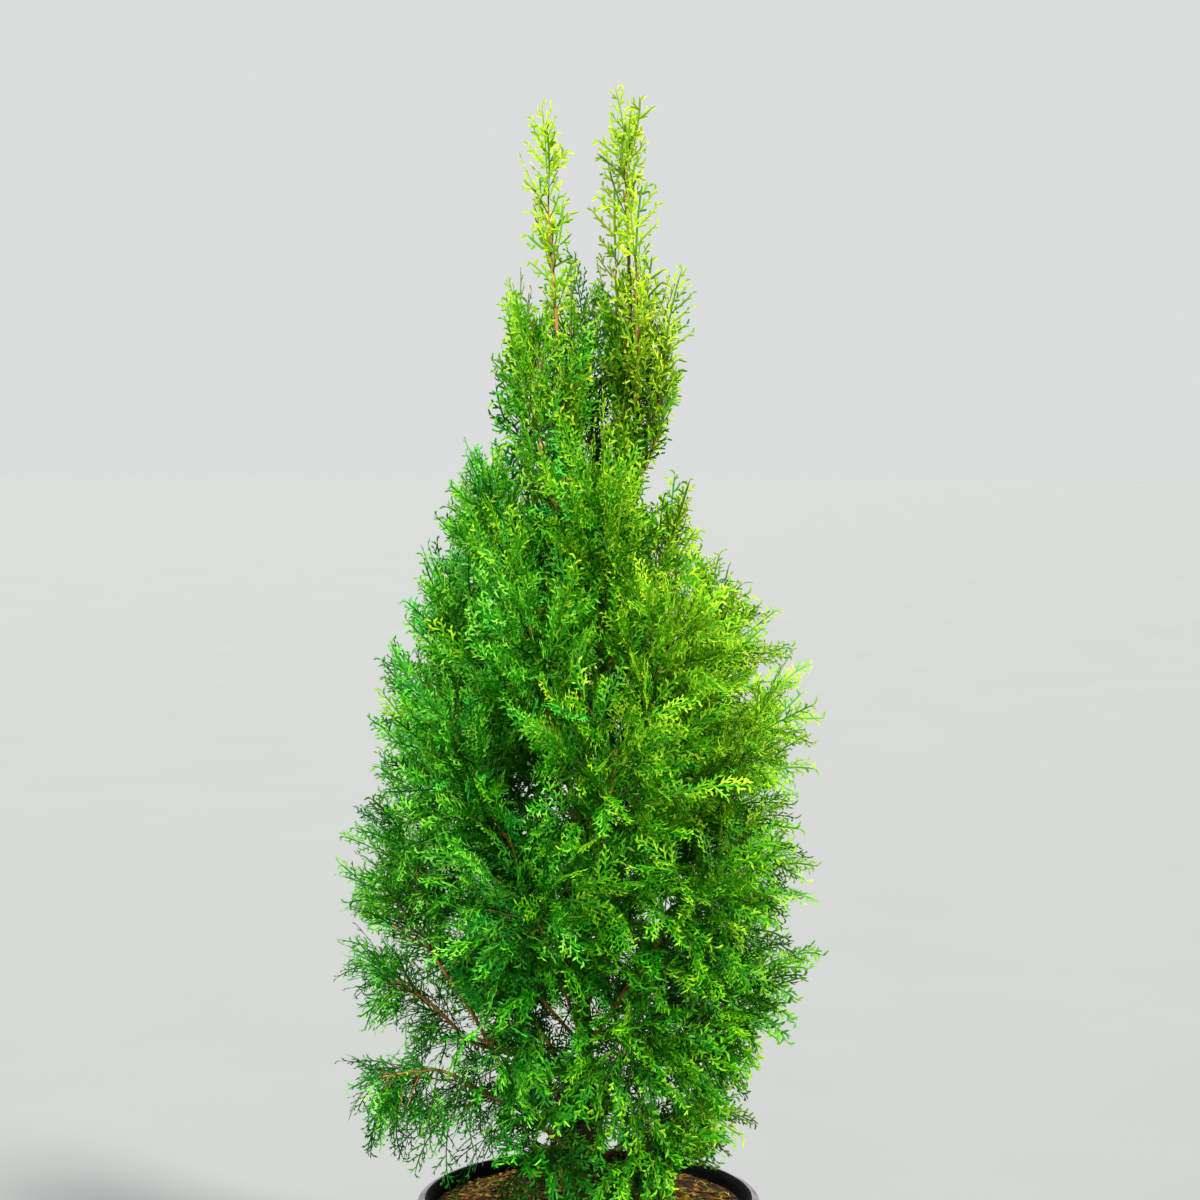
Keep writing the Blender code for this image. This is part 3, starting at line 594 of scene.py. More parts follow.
def upright_limbs():
    """The trunk and the two leaders that fork from it."""
    line = smooth_line([above_compost(*row) for row in TRUNK_LINE], 120, 1.8)
    heights = height_of(line.T)
    up = np.clip(heights / TRUNK_LINE[-1][0], 0, 1) ** TRUNK_TAPER
    radii = mix(TRUNK_BASE_R, TRUNK_TIP_R, up) + FLARE_R * np.exp(-heights / FLARE_HEIGHT)
    limbs = {"trunk": Limb(line, radii)}
    for name, rows in (("leader_left", LEFT_LEADER_LINE), ("leader_side", SIDE_LEADER_LINE)):
        line = smooth_line([above_compost(*row) for row in rows], 48)
        foot, _ = foot_on_side(limbs["trunk"], share_at_height(limbs["trunk"], rows[0][0]), line[6])
        line = np.concatenate([[foot], line[4:]])
        limbs[name] = Limb(line, np.linspace(LEADER_BASE_R, LEADER_TIP_R, len(line)))
    return limbs


def add_left_boughs(limbs, masses):
    for row in LEFT_BOUGHS:
        end = above_compost(*row.end)
        tip = above_compost(*row.tip)
        limb = limbs[row.limb]
        share = share_at_height(limb, row.place) if row.limb == "trunk" else row.place
        foot, out = foot_on_side(limb, share, end)
        line = arch(foot, rising(out, LEFT_BOUGH_LEAVE), end, end - foot, 24)
        thin = np.linspace(0, 1, len(line)) ** LEFT_BOUGH_TAPER
        limbs["bough_" + row.name] = Limb(line, mix(LEFT_BOUGH_R, LEFT_STEM_R, thin))
        masses.append(Mass(None, "left", line[5:], LEFT._replace(twigs=LEFT_BOUGH_TWIGS)))
        stem = arch(end, line[-1] - line[-2], tip, tip - end, STEM_POINTS)
        masses.append(Mass("foliage_" + row.name, "left", stem, row.growth))


def add_uprights(limbs, masses):
    for row in UPRIGHTS:
        limb = limbs[row.limb]
        tip = above_compost(*row.tip)
        share = share_at_height(limb, row.foot)
        foot, leave = limb.line[-1], limb.line[-1] - limb.line[-2]
        if share < 0.99:
            foot, out = foot_on_side(limb, share, tip)
            leave = out + UP * UPRIGHT_LEAVE
        stem = arch(foot, leave, tip, UP + unit(tip - foot), STEM_POINTS)
        rise = UP * (row.top - row.tip[0])
        core = np.concatenate([stem, [stem[-1] + rise * share for share in (0.3, 0.6, 0.9)]])
        growth = TOP if row.radius < SLIM_UPRIGHT else NECK
        masses.append(Mass("foliage_" + row.name, "top", stem, growth, row.top, row.radius, core))


def add_stretches(limbs, masses):
    for row in STRETCHES:
        limb = limbs[row.limb]
        low, high = (share_at_height(limb, height) for height in (row.low, row.high))
        line = np.array([through(limb.line, share) for share in np.linspace(low, high, row.points)])
        growth = row.growth._replace(twigs=row.twigs)
        masses.append(Mass(None, row.piece, line, growth, row.top, row.radius, line))


def add_tiers(limbs, masses):
    for tier in TIERS:
        for number, bearing in enumerate(tier.bearings, 1):
            name = f"{tier.name}_{number}"
            out = bearing_vector(bearing)
            reach = reach_at(tier.tip, radians(bearing)) * STEM_REACH
            tip = above_compost(tier.tip, out[0] * reach, out[1] * reach)
            foot, _ = foot_on_side(limbs["trunk"], share_at_height(limbs["trunk"], tier.foot), tip)
            line = arch(foot, rising(out, tier.leave), tip, rising(out, tier.arrive), TIER_POINTS + 1)
            bare = round(tier.bare * TIER_POINTS)
            if bare:
                radii = np.linspace(BOUGH_R, STEM_R, bare + 1)
                limbs["bough_" + name] = Limb(line[: bare + 1], radii)
                masses.append(Mass(None, tier.name, line[4 : bare + 1], LOW._replace(twigs=BOUGH_TWIGS)))
            masses.append(Mass("foliage_" + name, tier.name, line[bare::2], LOW if bare else BODY))


# --- Twigs and sprays ---


def twig_try(mass, number, turn, rng):
    """One seeded try at a twig, or None where there is no room."""
    growth = mass.growth
    share = mix(*TWIG_SPAN, number / (growth.twigs - 1))
    share = clamp(share + stray(rng, STRAY_SHARE), 0.05, TWIG_SPAN[1])
    root = through(mass.line, share)
    way = way_at(mass.line, share)
    turn = radians(GOLDEN_TURN * number + turn + stray(rng, STRAY_TURN))
    around = turned(any_square(way), way, turn)
    fork = radians(growth.fork + stray(rng, STRAY_FORK))
    lift = ramp(lifted_height(root), DROOP, LIFT)
    lean = lift
    if mass.piece == "left":
        lean -= LEFT_HANG * clamp((LEFT_HANG_FROM - height_of(root)) / LEFT_HANG_FADE)
    along = unit(way * cos(fork) + around * sin(fork) + UP * lean)
    room = room_along(mass, root, along, growth.twig + growth.spray)
    longest = growth.twig * (STRAND if growth is TOP and rng.random() < STRAND_SHARE else 1.0)
    length = min(longest * rng.uniform(*TWIG_LENGTHS), room - growth.spray * rng.uniform(*SPRAY_ROOM))
    if length < SHORT_TWIG * growth.twig and room < growth.spray * SHORT_SPRAY:
        return None
    length = max(length, TWIG_LEAST)
    steps = np.linspace(0, 1, TWIG_POINTS)[:, None]
    line = root + along * length * steps + UP * length * TWIG_SAG * lift * steps**2
    thick = min(TWIG_R, mix(STEM_R, STEM_TIP_R, share) * 0.8)
    middle = line[-1] + along * growth.spray * 0.3
    return Twig(line, np.linspace(thick, TWIG_TIP_R, TWIG_POINTS), middle, mass)


def grow_twigs(masses, rng):
    """Grows one twig on each mass in turn, where it stands in the most open place of those tried."""
    stems = np.concatenate([mass.line for mass in masses])
    owners = np.repeat(np.arange(len(masses)), [len(mass.line) for mass in masses])
    turns = rng.uniform(0, 360, len(masses))
    middles = [mass.line[-1] for mass in masses]
    twigs = []
    for number in range(max(mass.growth.twigs for mass in masses)):
        for own, mass in enumerate(masses):
            if number >= mass.growth.twigs:
                continue
            best, most = None, 0.0
            for _ in range(TRIES):
                twig = twig_try(mass, number, turns[own], rng)
                if twig is None or owners[np.linalg.norm(stems - twig.middle, axis=1).argmin()] != own:
                    continue
                openness = np.linalg.norm(np.array(middles) - twig.middle, axis=1).min()
                if openness > most:
                    best, most = twig, openness
            if best:
                middles.append(best.middle)
                twigs.append(best)
    return twigs


def spray_face(along, height, rng):
    """The way a spray's flat face looks: up in the lower crown, aside in the upper, anywhere on an upright one."""
    if abs(along[2]) > 0.8:
        return square_to(along, bearing_vector(rng.uniform(0, 360)))
    roll = ramp(height, LEVEL, ON_EDGE) * rng.choice((-1, 1)) + stray(rng, STRAY_ROLL)
    return turned(square_to(along, UP), along, radians(roll))


def sprays_on(line, mass, rng, count):
    """(root, along, face, length) of the sprays at a line's end and along its sides by turns."""
    growth = mass.growth
    face = spray_face(unit(line[-1] - line[0]), height_of(line[0]), rng)
    sprays = []
    for number in range(count + 1):
        end = number == count
        share = 1.0 if end else mix(*SPRAY_SPAN, (number + rng.uniform(0.2, 0.8)) / count)
        root = through(line, share)
        way = way_at(line, share)
        along = way
        if not end:
            fork = radians(growth.spread + stray(rng, SPREAD_STRAY)) * (-1) ** number
            along = turned(way, square_to(way, face), fork)
            along = turned(along, way, radians(stray(rng, SPRAY_TWIST)))
        most = growth.spray * rng.uniform(*(END_SPRAY if end else SIDE_SPRAY))
        if end and line is mass.line and mass.name and mass.top:
            most = mass.top - height_of(root)
        low = rng.random() < (LEFT_LOW_SHARE if root[0] < LEFT_LOW_FROM else LOW_SHARE)
        length = room_along(mass, root, along, most, rng.uniform(*REACH_JITTER), low)
        if length > min(SPRAY_LEAST, growth.spray * SPRAY_LEAST_SHARE):
            sprays.append((root, along, spray_face(along, height_of(root), rng), length))
    return sprays


def path_of(start, heading, length, curl, rise, count):
    """Points (along, across, out) of a path that turns by curl on its way and climbs out of the spray's plane."""
    steps = np.arange(1, count) / (count - 1)
    headings = heading + curl * (steps - 0.5 / (count - 1))
    step = length / (count - 1)
    moves = np.stack([np.cos(headings) * step, np.sin(headings) * step, np.full(count - 1, rise * step)], axis=1)
    return start + np.concatenate([np.zeros((1, 3)), np.cumsum(moves, axis=0)])


def shoot(path, width):
    """A scale-leaved shoot: a low roof along its path that ends in a point."""
    way = np.gradient(path, axis=0)
    across = unit(np.stack([-way[:, 1], way[:, 0], np.zeros(len(path))], axis=1))
    body = path[:-1]
    half = across[:-1] * width / 2
    half[0] *= 0.6
    ridge = body + (0, 0, width * SHOOT_RIDGE)
    rings = np.stack([body - half, ridge, body + half], axis=1).reshape(-1, 3)
    corners = np.concatenate([rings, path[-1:]])
    faces = []
    for i in range(len(body) - 1):
        for side in (0, 1):
            a = 3 * i + side
            faces += [(a, a + 1, a + 4), (a, a + 4, a + 3)]
    a = 3 * (len(body) - 1)
    faces += [(a, a + 1, a + 3), (a + 1, a + 2, a + 3)]
    return corners, np.array(faces)


def way_and_across(path, width):
    """A short shoot's way, and half of its width across that."""
    way = path[-1] - path[0]
    return way, unit(np.array((-way[1], way[0], 0.0))) * width / 2


def blunt_shoot(path, width):
    """A shoot's last length as a finger, which keeps its width to near its end."""
    _, across = way_and_across(path, width)
    narrow = across * FINGER_TAPER
    fold = np.array((0, 0, width * SHOOT_RIDGE))
    foot = path[0]
    end = mix(path[0], path[1], FINGER_END)
    corners = [foot - across, foot + across, foot + fold, end - narrow, end + narrow, path[-1] + fold]
    return np.array(corners), np.array([(0, 2, 3), (2, 5, 3), (2, 1, 4), (2, 4, 5)])


def last_shoot(path, width):
    """A shoot's last length: a kite, folded along its middle."""
    way, across = way_and_across(path, width)
    wide = path[0] + way * KITE_WIDEST - (0, 0, width * SHOOT_RIDGE)
    return np.array([path[0], wide - across, path[-1], wide + across]), np.array([(0, 1, 2), (0, 2, 3)])


def branching(path, share, fork):
    """Where a shoot leaves another's path, and its heading."""
    way = way_at(path, share)
    return through(path, share), atan2(way[1], way[0]) + fork


def spray_paths(length, kind, rng):
    """Paths of a spray's shoots with their widths and how new each is: its axis, side shoots and last shoots."""
    axis = path_of(np.zeros(3), 0.0, length, stray(rng, 0.3), 0.0, 6)
    paths = [(axis, 0.8 * kind.width, -kind.darker)]
    side = 1 if rng.random() < 0.5 else -1
    place = SIDE_SPAN[0] * length + rng.uniform(0, kind.spacing)
    while place < length * SIDE_SPAN[1]:
        share = place / length
        swell = sin(pi * mix(0.30, 1.0, share**0.8)) ** 0.7
        reach = max(length * kind.reach * swell * rng.uniform(*SIDE_JITTER), SIDE_LEAST)
        fork = radians(mix(kind.fork + FORK_FADE, kind.fork - FORK_FADE, share) + stray(rng, 6))
        start, heading = branching(axis, share, side * fork)
        climb = stray(rng, 0.12)
        branch = path_of(start, heading, reach, -side * rng.uniform(0.0, 0.28), climb, 3)
        step = int(rng.integers(-kind.darker, 1))
        paths.append((branch, kind.width * 0.85, step))
        add_last_shoots(paths, branch, reach, side, kind, step, rng)
        side = -side
        place += kind.spacing * rng.uniform(*SPACING_JITTER)
    return paths


def add_last_shoots(paths, branch, reach, turn, kind, step, rng):
    """A side shoot's own shoots, by turns on its two sides. A blunt kind's start nearer its foot."""
    place = kind.close * rng.uniform(*((0.4, 0.8) if kind.blunt else (0.6, 1.2)))
    while place < reach - 0.0015:
        share = place / reach
        start, heading = branching(branch, share, turn * radians(LAST_FORK + stray(rng, 7)))
        long = min(kind.last * mix(*LAST_TAPER, share) * rng.uniform(*LAST_JITTER), reach - place + 0.003)
        climb = stray(rng, 0.16)
        newer = step + int(rng.random() < 0.5)
        paths.append((path_of(start, heading, long, 0.0, climb, 2), kind.width, newer))
        turn = -turn
        place += kind.close * rng.uniform(*SPACING_JITTER)


def spray_template(length, kind, rng):
    """A flat spray's mesh, and how many tones each of its faces is brighter or darker than the spray's own."""
    corners, faces, steps = [], [], []
    count = 0
    last = blunt_shoot if kind.blunt else last_shoot
    for path, width, step in spray_paths(length, kind, rng):
        made, sides = (last if len(path) == 2 else shoot)(path, width)
        corners.append(made)
        faces.append(sides + count)
        newer = int(path[0][0] / length > rng.uniform(0.1, 1.1))
        steps.append(np.full(len(sides), step + newer))
        count += len(made)
    return Template(length, np.concatenate(corners), np.concatenate(faces), np.concatenate(steps))


def placed_spray(template, root, along, face, length, bend, cup):
    """A template's corners where a spray stands, bent toward the sky or the ground."""
    scale = length / template.length
    a, b, c = template.corners.T * scale
    c = c + cup * b**2 / length
    up = square_to(along, UP) if abs(along[2]) < 0.98 else face
    turn = bend * a / length
    curve = bend / length
    arc = np.outer(np.sin(turn) / curve, along) + np.outer((1 - np.cos(turn)) / curve, up)
    offset = np.outer(b, np.cross(face, along)) + np.outer(c, face)
    return root + arc + turned(offset, np.cross(along, up), turn)


def settled(points):
    """Points lifted clear of the compost and the pot's rim."""
    out = np.hypot(points[:, 0], points[:, 1])
    over_compost = COMPOST_TOP + COMPOST_RISE + COMPOST_HEAP + SPRAY_CLEAR
    floor = np.where(out < LIP_R - LIP_WIDTH - LIP_PLAY, over_compost, POT_HEIGHT + LIP_CLEAR)
    floor = np.where(out > LIP_R + LIP_PLAY, -1.0, floor)
    lifted = points.copy()
    lifted[:, 2] = np.maximum(points[:, 2], floor)
    return lifted


def tint(rows, place):
    """What a table of tints adds at a place, given by its measures."""
    return sum(
        amount * prod(clamp((place[name] - low) / (high - low)) for name, low, high in ramps)
        for amount, *ramps in rows
    )


def picked(first, value, most):
    """The colour of a family that a value comes nearest, as an index up to its first one's plus most."""
    return first + int(clamp(round(value), 0, most))


def tone_of(point, mass, rng):
    """A leaf colour's index for a spray, by its place in the crown, which paints in the crown's light and shade.
    """
    x, y, _ = point
    height = height_of(point)
    outward = clamp(hypot(x, FRONT_SHADE * y) / reach_at(height, atan2(y, x)), 0, 1.1)
    aside = clamp(hypot(x - COLUMN_MIDDLE, y) / COLUMN_R)
    place = {"height": height, "sideways": x, "outward": outward, "aside": aside}
    # Painted light toward the outside, higher up and on the right; painted shade inside
    value = BODY_TONE + tint(BODY_PAINTED_LIGHT_AND_SHADE, place)
    if mass.piece == "left" and height < LEFT_MOST[0]:
        value = min(value, LEFT_MOST[1])
    # Painted fill light on the left side, painted shade in a low hollow right of the middle
    value += tint(SIDE_PAINTED_LIGHT_AND_SHADE, place)
    # Painted shade at the crown's foot, low and left of the middle
    if height < FOOT_PAINTED_SHADE[0] and x < FOOT_PAINTED_SHADE[1]:
        value = FOOT_PAINTED_SHADE[2]
    if mass.piece == "top":
        # The narrow top: painted shade in its inside, painted light toward its outside and its top
        value = TOP_TONE + tint(TOP_PAINTED_LIGHT_AND_SHADE, place)
        # Gold on the top's right and top: golden growth, partly painted warm sunlight
        if rng.random() < tint(GOLD_AND_WARM_LIGHT_PLACES, place) and mass.name != "foliage_back_top":
            value = value / 2 - GOLD_SHIFT + rng.normal(0, GOLD_STRAY)
            return picked(GOLD_FIRST, value, len(GOLD_TONES) - 1)
    # Painted shade for the crown's back top
    if mass.name == "foliage_back_top":
        value = BACK_TOP_PAINTED_SHADE
    value += rng.normal(0, TONE_STRAY)
    # Fresher and bluish greens on the left: partly own colour, partly painted cool light from the left
    left = tint(LEFT_GREEN_AND_COOL_LIGHT, place)
    draw = rng.random()
    if draw < left * tint(SEA_GREEN_AND_COOL_LIGHT, place):
        return picked(SEA_FIRST, value / 2 - SEA_SHIFT, len(SEA_TONES) - 1)
    if draw < SPRING_SHARE * left:
        return picked(SPRING_FIRST, value - SPRING_SHIFT, len(SPRING_TONES) - 2)
    return picked(0, value - LEFT_SHIFT * left, len(LEAF_TONES) - 2)


def stepped(tone, steps):
    """The leaf colours of a spray's faces: its own, and its family's next ones down and up for older and newer."""
    low = max(first for first in FAMILIES if first <= tone)
    high = min(first for first in FAMILIES if first > tone)
    return np.clip(tone + steps, low, high - 1)


# --- Meshes ---


def tube(line, radii, sides, relief=None):
    """A closed limb along a line. Relief gives the share by which its skin stands out at (ring, side)."""
    way = unit(np.gradient(line, axis=0))
    across = any_square(way[0])
    turns = np.arange(sides) * 2 * pi / sides
    rings = []
    for i, centre in enumerate(line):
        across = square_to(way[i], across)
        other = np.cross(way[i], across)
        swell = radii[i] * (1 + (relief[i] if relief is not None else 0.0))
        rings.append(centre + np.outer(np.cos(turns) * swell, across) + np.outer(np.sin(turns) * swell, other))
    corners = np.concatenate([*rings, line[:1], line[-1:]])
    faces = []
    last = (len(line) - 1) * sides
    for side in range(sides):
        after = (side + 1) % sides
        for ring in range(0, last, sides):
            a, b = ring + side, ring + after
            faces += [(a, b, b + sides), (a, b + sides, a + sides)]
        faces += [(after, side, last + sides), (last + side, last + after, last + sides + 1)]
    return corners, np.array(faces)


def joined(shapes):
    """Many (corners, faces, slot) as one Shape, the slot a number or one for each face."""
    corners = np.concatenate([shape[0] for shape in shapes])
    counts = np.cumsum([0] + [len(shape[0]) for shape in shapes[:-1]])
    faces = np.concatenate([shape[1] + start for shape, start in zip(shapes, counts)])
    slots = np.concatenate([np.broadcast_to(shape[2], len(shape[1])) for shape in shapes])
    return Shape(corners, faces, slots)


def linked(name, data):
    """A new object that stands in the scene."""
    made = bpy.data.objects.new(name, data)
    bpy.context.scene.collection.objects.link(made)
    return made


def add_piece(name, shape, materials, nodes=(), smooth=True):
    mesh = bpy.data.meshes.new(name)
    mesh.from_pydata(shape.corners, [], shape.faces)
    for used in materials:
        mesh.materials.append(used)
    mesh.polygons.foreach_set("material_index", shape.slots.astype(np.int32))
    mesh.polygons.foreach_set("use_smooth", np.full(len(mesh.polygons), smooth))
    piece = linked(name, mesh)
    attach(piece, "root")
    if nodes:
        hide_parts(*nodes)


# --- Materials ---


def fill(node, **values):
    """Sets a shader node's inputs, each to a value or by a link from another node's output."""
    for name, value in values.items():
        socket = node.inputs[name.replace("_", " ")]
        if isinstance(value, bpy.types.NodeSocket):
            node.id_data.links.new(value, socket)
        else:
            socket.default_value = value
    return node


def new_node(tree, kind, **values):
    return fill(tree.nodes.new("ShaderNode" + kind), **values)


def noise_node(tree, scale, detail, stretch=None):
    """A noise pattern in the object's own space, stretched along Z where that is given."""
    place = new_node(tree, "TexCoord").outputs["Object"]
    if stretch:
        place = new_node(tree, "Mapping", Vector=place, Scale=(1.0, 1.0, stretch)).outputs["Vector"]
    return new_node(tree, "TexNoise", Vector=place, Scale=scale, Detail=detail).outputs["Fac"]


def colour_ramp(tree, factor, stops):
    node = new_node(tree, "ValToRGB", Fac=factor)
    for i, (place, colour) in enumerate(stops):
        element = node.color_ramp.elements[i] if i < 2 else node.color_ramp.elements.new(place)
        element.position = place
        element.color = (*colour, 1.0)
    return node.outputs["Color"]


def material(name, finish, *colours):
    """A material in one plain colour, or in those that its grain goes through from dark to light."""
    made = bpy.data.materials.new(name)
    made.use_nodes = True
    tree = made.node_tree
    grain = noise_node(tree, finish.scale, finish.detail, finish.stretch)
    colour = colour_ramp(tree, grain, zip(finish.places, colours)) if finish.places else (*colours[0], 1.0)
    surface = tree.nodes["Principled BSDF"]
    fill(surface, Base_Color=colour, Roughness=finish.roughness, Specular_IOR_Level=finish.specular)
    if finish.depth:
        height = noise_node(tree, *finish.own) if finish.own else grain
        bump = new_node(tree, "Bump", Height=height, Distance=finish.depth, Strength=finish.strength)
        fill(surface, Normal=bump.outputs["Normal"])
    return made


# --- Pieces ---


def is_inner(tip):
    """Whether a spray's tip is inside the crown, behind others."""
    depth = tip[1] * (FRONT_COUNT if tip[1] < 0 else 1.0)
    reach = reach_at(height_of(tip), atan2(tip[1], tip[0]))
    return height_of(tip) > INNER_LOW and hypot(tip[0], depth) < INNER_SHARE * reach


def spray_templates(rng):
    """A few sorts of each kind's sprays at each length."""
    templates = {}
    for name, kind in KINDS.items():
        templates[name] = []
        for length in TEMPLATE_LENGTHS:
            templates[name].append([spray_template(length, kind, rng) for _ in range(TEMPLATE_SORTS)])
    return templates


def add_foliage(masses, twigs, rng):
    """The sprays of every mass, in one piece for each tier."""
    templates = spray_templates(rng)
    lines = [(mass.line, mass) for mass in masses] + [(twig.line, twig.mass) for twig in twigs]
    parts = {}
    for line, mass in lines:
        length = np.linalg.norm(line[-1] - line[0])
        count = max(round(length * mass.growth.close), 1)
        for root, along, face, long in sprays_on(line, mass, rng, count):
            sort = np.abs(np.array(TEMPLATE_LENGTHS) - long).argmin()
            inner = mass.growth.kind == "fan" and is_inner(root + along * long)
            template = templates["inner" if inner else mass.growth.kind][sort][rng.integers(TEMPLATE_SORTS)]
            degrees = ramp(lifted_height(root), DROOP_BEND, LIFT_BEND) + rng.normal(0, BEND_STRAY)
            bend = (radians(degrees) + 1e-4) * long / BEND_LENGTH
            corners = settled(placed_spray(template, root, along, face, long, bend, stray(rng, CUP)))
            tone = tone_of(root + along * long / 2, mass, rng)
            parts.setdefault(mass.piece, []).append((corners, template.faces, stepped(tone, template.steps)))
    materials = [material("leaf_" + name, LEAF, colour) for name, colour in ALL_TONES]
    for piece, shapes in parts.items():
        nodes = [mass.name for mass in masses if mass.piece == piece and mass.name]
        add_piece("sprays_" + piece, joined(shapes), materials, nodes)


def add_twigs(masses, twigs, young, green, rng):
    shapes = []
    for mass in masses:
        if mass.name:
            line = smooth_line(mass.line, 14)
            thick = LEFT_STEM_R if mass.piece == "left" else STEM_R
            shapes.append((*tube(line, np.linspace(thick, STEM_TIP_R, len(line)), 6), 0))
    for twig in twigs:
        slot = int(twig.mass.piece != "left" or rng.random() > YOUNG_TWIGS)
        shapes.append((*tube(twig.line, twig.radii, 5), slot))
    add_piece("twigs", joined(shapes), [young, green])


def ridges(rings, sides, rng, depth):
    """Relief of long fibrous ridges: waves round the limb that drift as they climb."""
    turns = np.arange(sides) * 2 * pi / sides
    relief = np.zeros((rings, sides))
    for waves in (2, 3, 5, 7, 9):
        drift = np.cumsum(rng.normal(0, 0.16, rings))
        relief += np.sin(waves * turns[None, :] + drift[:, None] + rng.uniform(0, 6.3)) / waves**0.5
    return depth * (relief + rng.normal(0, 0.35, (rings, sides)))


def add_limbs(limbs, old, young, rng):
    left = [name for name in limbs if name.startswith("bough_left")]
    others = [name for name in limbs if name.startswith("bough_") and name not in left]
    for piece, names, sides, depth, bark, slot in (
        ("trunk_bark", ["trunk"], 20, 0.07, old, "bark"),
        ("leader_bark", ["leader_left", "leader_side"], 14, 0.05, young, "young_bark"),
        ("barked_young_bark", left, 12, 0.05, young, "young_bark"),
        ("barked_bark", others, 12, 0.05, old, "bark"),
    ):
        skins = []
        for line, radii in (limbs[name] for name in names):
            skins.append((*tube(line, radii, sides, ridges(len(line), sides, rng, depth)), 0))
        add_piece(piece, joined(skins), [bark], names)


def revolved(section, steps):
    """A turned surface from (radius, height) points, with the fan of faces that closes each end on the axis."""
    turns = np.arange(steps) * 2 * pi / steps
    section = np.array(section)
    corners = np.stack(
        [
            np.outer(section[:, 0], np.cos(turns)),
            np.outer(section[:, 0], np.sin(turns)),
            np.repeat(section[:, 1:], steps, axis=1),
        ],
        axis=2,
    ).reshape(-1, 3)
    side = np.arange(steps)
    after = (side + 1) % steps
    faces = []
    for ring in range(0, (len(section) - 1) * steps, steps):
        faces.append(np.stack([ring + side, ring + after, ring + after + steps], axis=1))
        faces.append(np.stack([ring + side, ring + after + steps, ring + side + steps], axis=1))
    return corners, np.concatenate(faces)


def pot_section():
    """Half of the pot's section, from the middle of its inside, over the ridged lip, to the middle underneath, and
    the plastic of each band between its points: 0 the body's, 1 the lip's outer part with a painted sheen of
    reflected sky, 2 the inside and the lip's inner part, in painted shade."""
    mouth_z = POT_HEIGHT - MOUTH_DROP
    lip_in = LIP_R - LIP_WIDTH
    inside = [(0.0, POT_FLOOR), (POT_BASE_R - POT_WALL, POT_FLOOR), (MOUTH_R, mouth_z)]
    inside.append((lip_in - BEVEL, POT_HEIGHT - LIP_IN_DROP))
    lip = []
    for t in np.linspace(0, 1, LIP_POINTS):
        arc = sin(pi * t) ** LIP_ROUND
        wave = cos(2 * pi * LIP_RIDGES * t)
        drop = LIP_EDGE_DROP * (1 - arc) + LIP_SLOPE * t**2 + RIDGE_RISE * (1 + wave) / 2 * (0.1 < t < 0.9)
        lip.append((mix(lip_in, LIP_R, t), POT_HEIGHT - drop))
    collar_r = LIP_R - COLLAR_WALL
    collar_z = POT_HEIGHT - COLLAR_DROP
    collar = [(LIP_R, collar_z + BEVEL), (LIP_R - BEVEL, collar_z), (collar_r, collar_z), (collar_r, mouth_z)]
    body = [(MOUTH_R + POT_WALL, mouth_z - POT_WALL)]
    for z in np.linspace(mouth_z - WALL_ENDS, WALL_ENDS, WALL_POINTS):
        up = (z - POT_FLOOR) / (mouth_z - POT_FLOOR)
        band = max(exp(-(((z - at) / BAND_HALF) ** 4)) for at in BODY_BANDS)
        body.append((mix(POT_BASE_R, MOUTH_R, up) + POT_WALL * up + BAND_RISE * band, z))
    foot = [(POT_BASE_R + out, z) for out, z in POT_FOOT]
    section = inside + lip + collar + body + foot + [(0.0, foot[-1][1])]
    slots = np.zeros(len(section) - 1, int)
    # The inside and the lip's inner third in the darker plastic as painted shade, the lip's outer two thirds in
    # the painted sheen
    slots[: len(inside) + len(lip) // 3] = 2
    slots[len(inside) + len(lip) // 3 : len(inside) + len(lip)] = 1
    return section, slots


def add_pot():
    section, slots = pot_section()
    corners, faces = revolved(section, POT_STEPS)
    plastics = [
        material("black_plastic", PLASTIC, (0.007, 0.006, 0.007), (0.020, 0.017, 0.019)),
        # A lighter grey-lilac plastic: a painted sheen of sky reflected at the lip
        material("lip_sheen", LIP_PLASTIC, (0.085, 0.070, 0.090), (0.200, 0.175, 0.215)),
        # A darker copy of the plastic: painted shade inside the pot
        material("inner_plastic", INNER_PLASTIC, (0.0015, 0.0015, 0.002), (0.004, 0.0035, 0.004)),
    ]
    add_piece("pot_shell", joined([(corners, faces, np.repeat(slots, 2 * POT_STEPS))]), plastics, ["pot"])


# --- Compost ---

COMPOST_COLOURS = ((0.004, 0.002, 0.0004), (0.036, 0.016, 0.002), (0.130, 0.060, 0.008))
CHIPS = 620
CHIP_LEAST = (0.003, 0.002, 0.0008)
CHIP_MOST = (0.010, 0.005, 0.0024)
CHIP_SIDES = 6
CHIP_MARGIN = 0.006
CHIP_LIFT = 0.0006
CHIP_COLOURS = {
    "chip_dark": ((0.010, 0.005, 0.001), (0.050, 0.024, 0.006)),
    "chip_brown": ((0.075, 0.030, 0.006), (0.210, 0.090, 0.020)),
    "chip_tan": ((0.200, 0.085, 0.008), (0.400, 0.200, 0.030)),
}
LITTER = 5200
LITTER_LENGTHS = (0.004, 0.014)
LITTER_WIDTHS = (0.0007, 0.0016)
LITTER_MARGIN = 0.004
LITTER_LIFT = 0.0009
# Where litter lies thicker: waves to the metre, weight and place in the noise
PATCHES = ((45, 1.0, 9.0), (110, 0.6, 3.0))
PATCH_EDGE = 0.35
LITTER_SHARES = (0.26, 0.14, 0.22, 0.38)
LITTER_COLOURS = {
    "litter_orange": ((0.110, 0.038, 0.002), (0.300, 0.120, 0.005)),
    "litter_straw": ((0.280, 0.160, 0.008), (0.480, 0.310, 0.024)),
    "litter_green": ((0.030, 0.070, 0.002), (0.100, 0.170, 0.006)),
    "litter_brown": ((0.022, 0.010, 0.001), (0.085, 0.036, 0.005)),
}


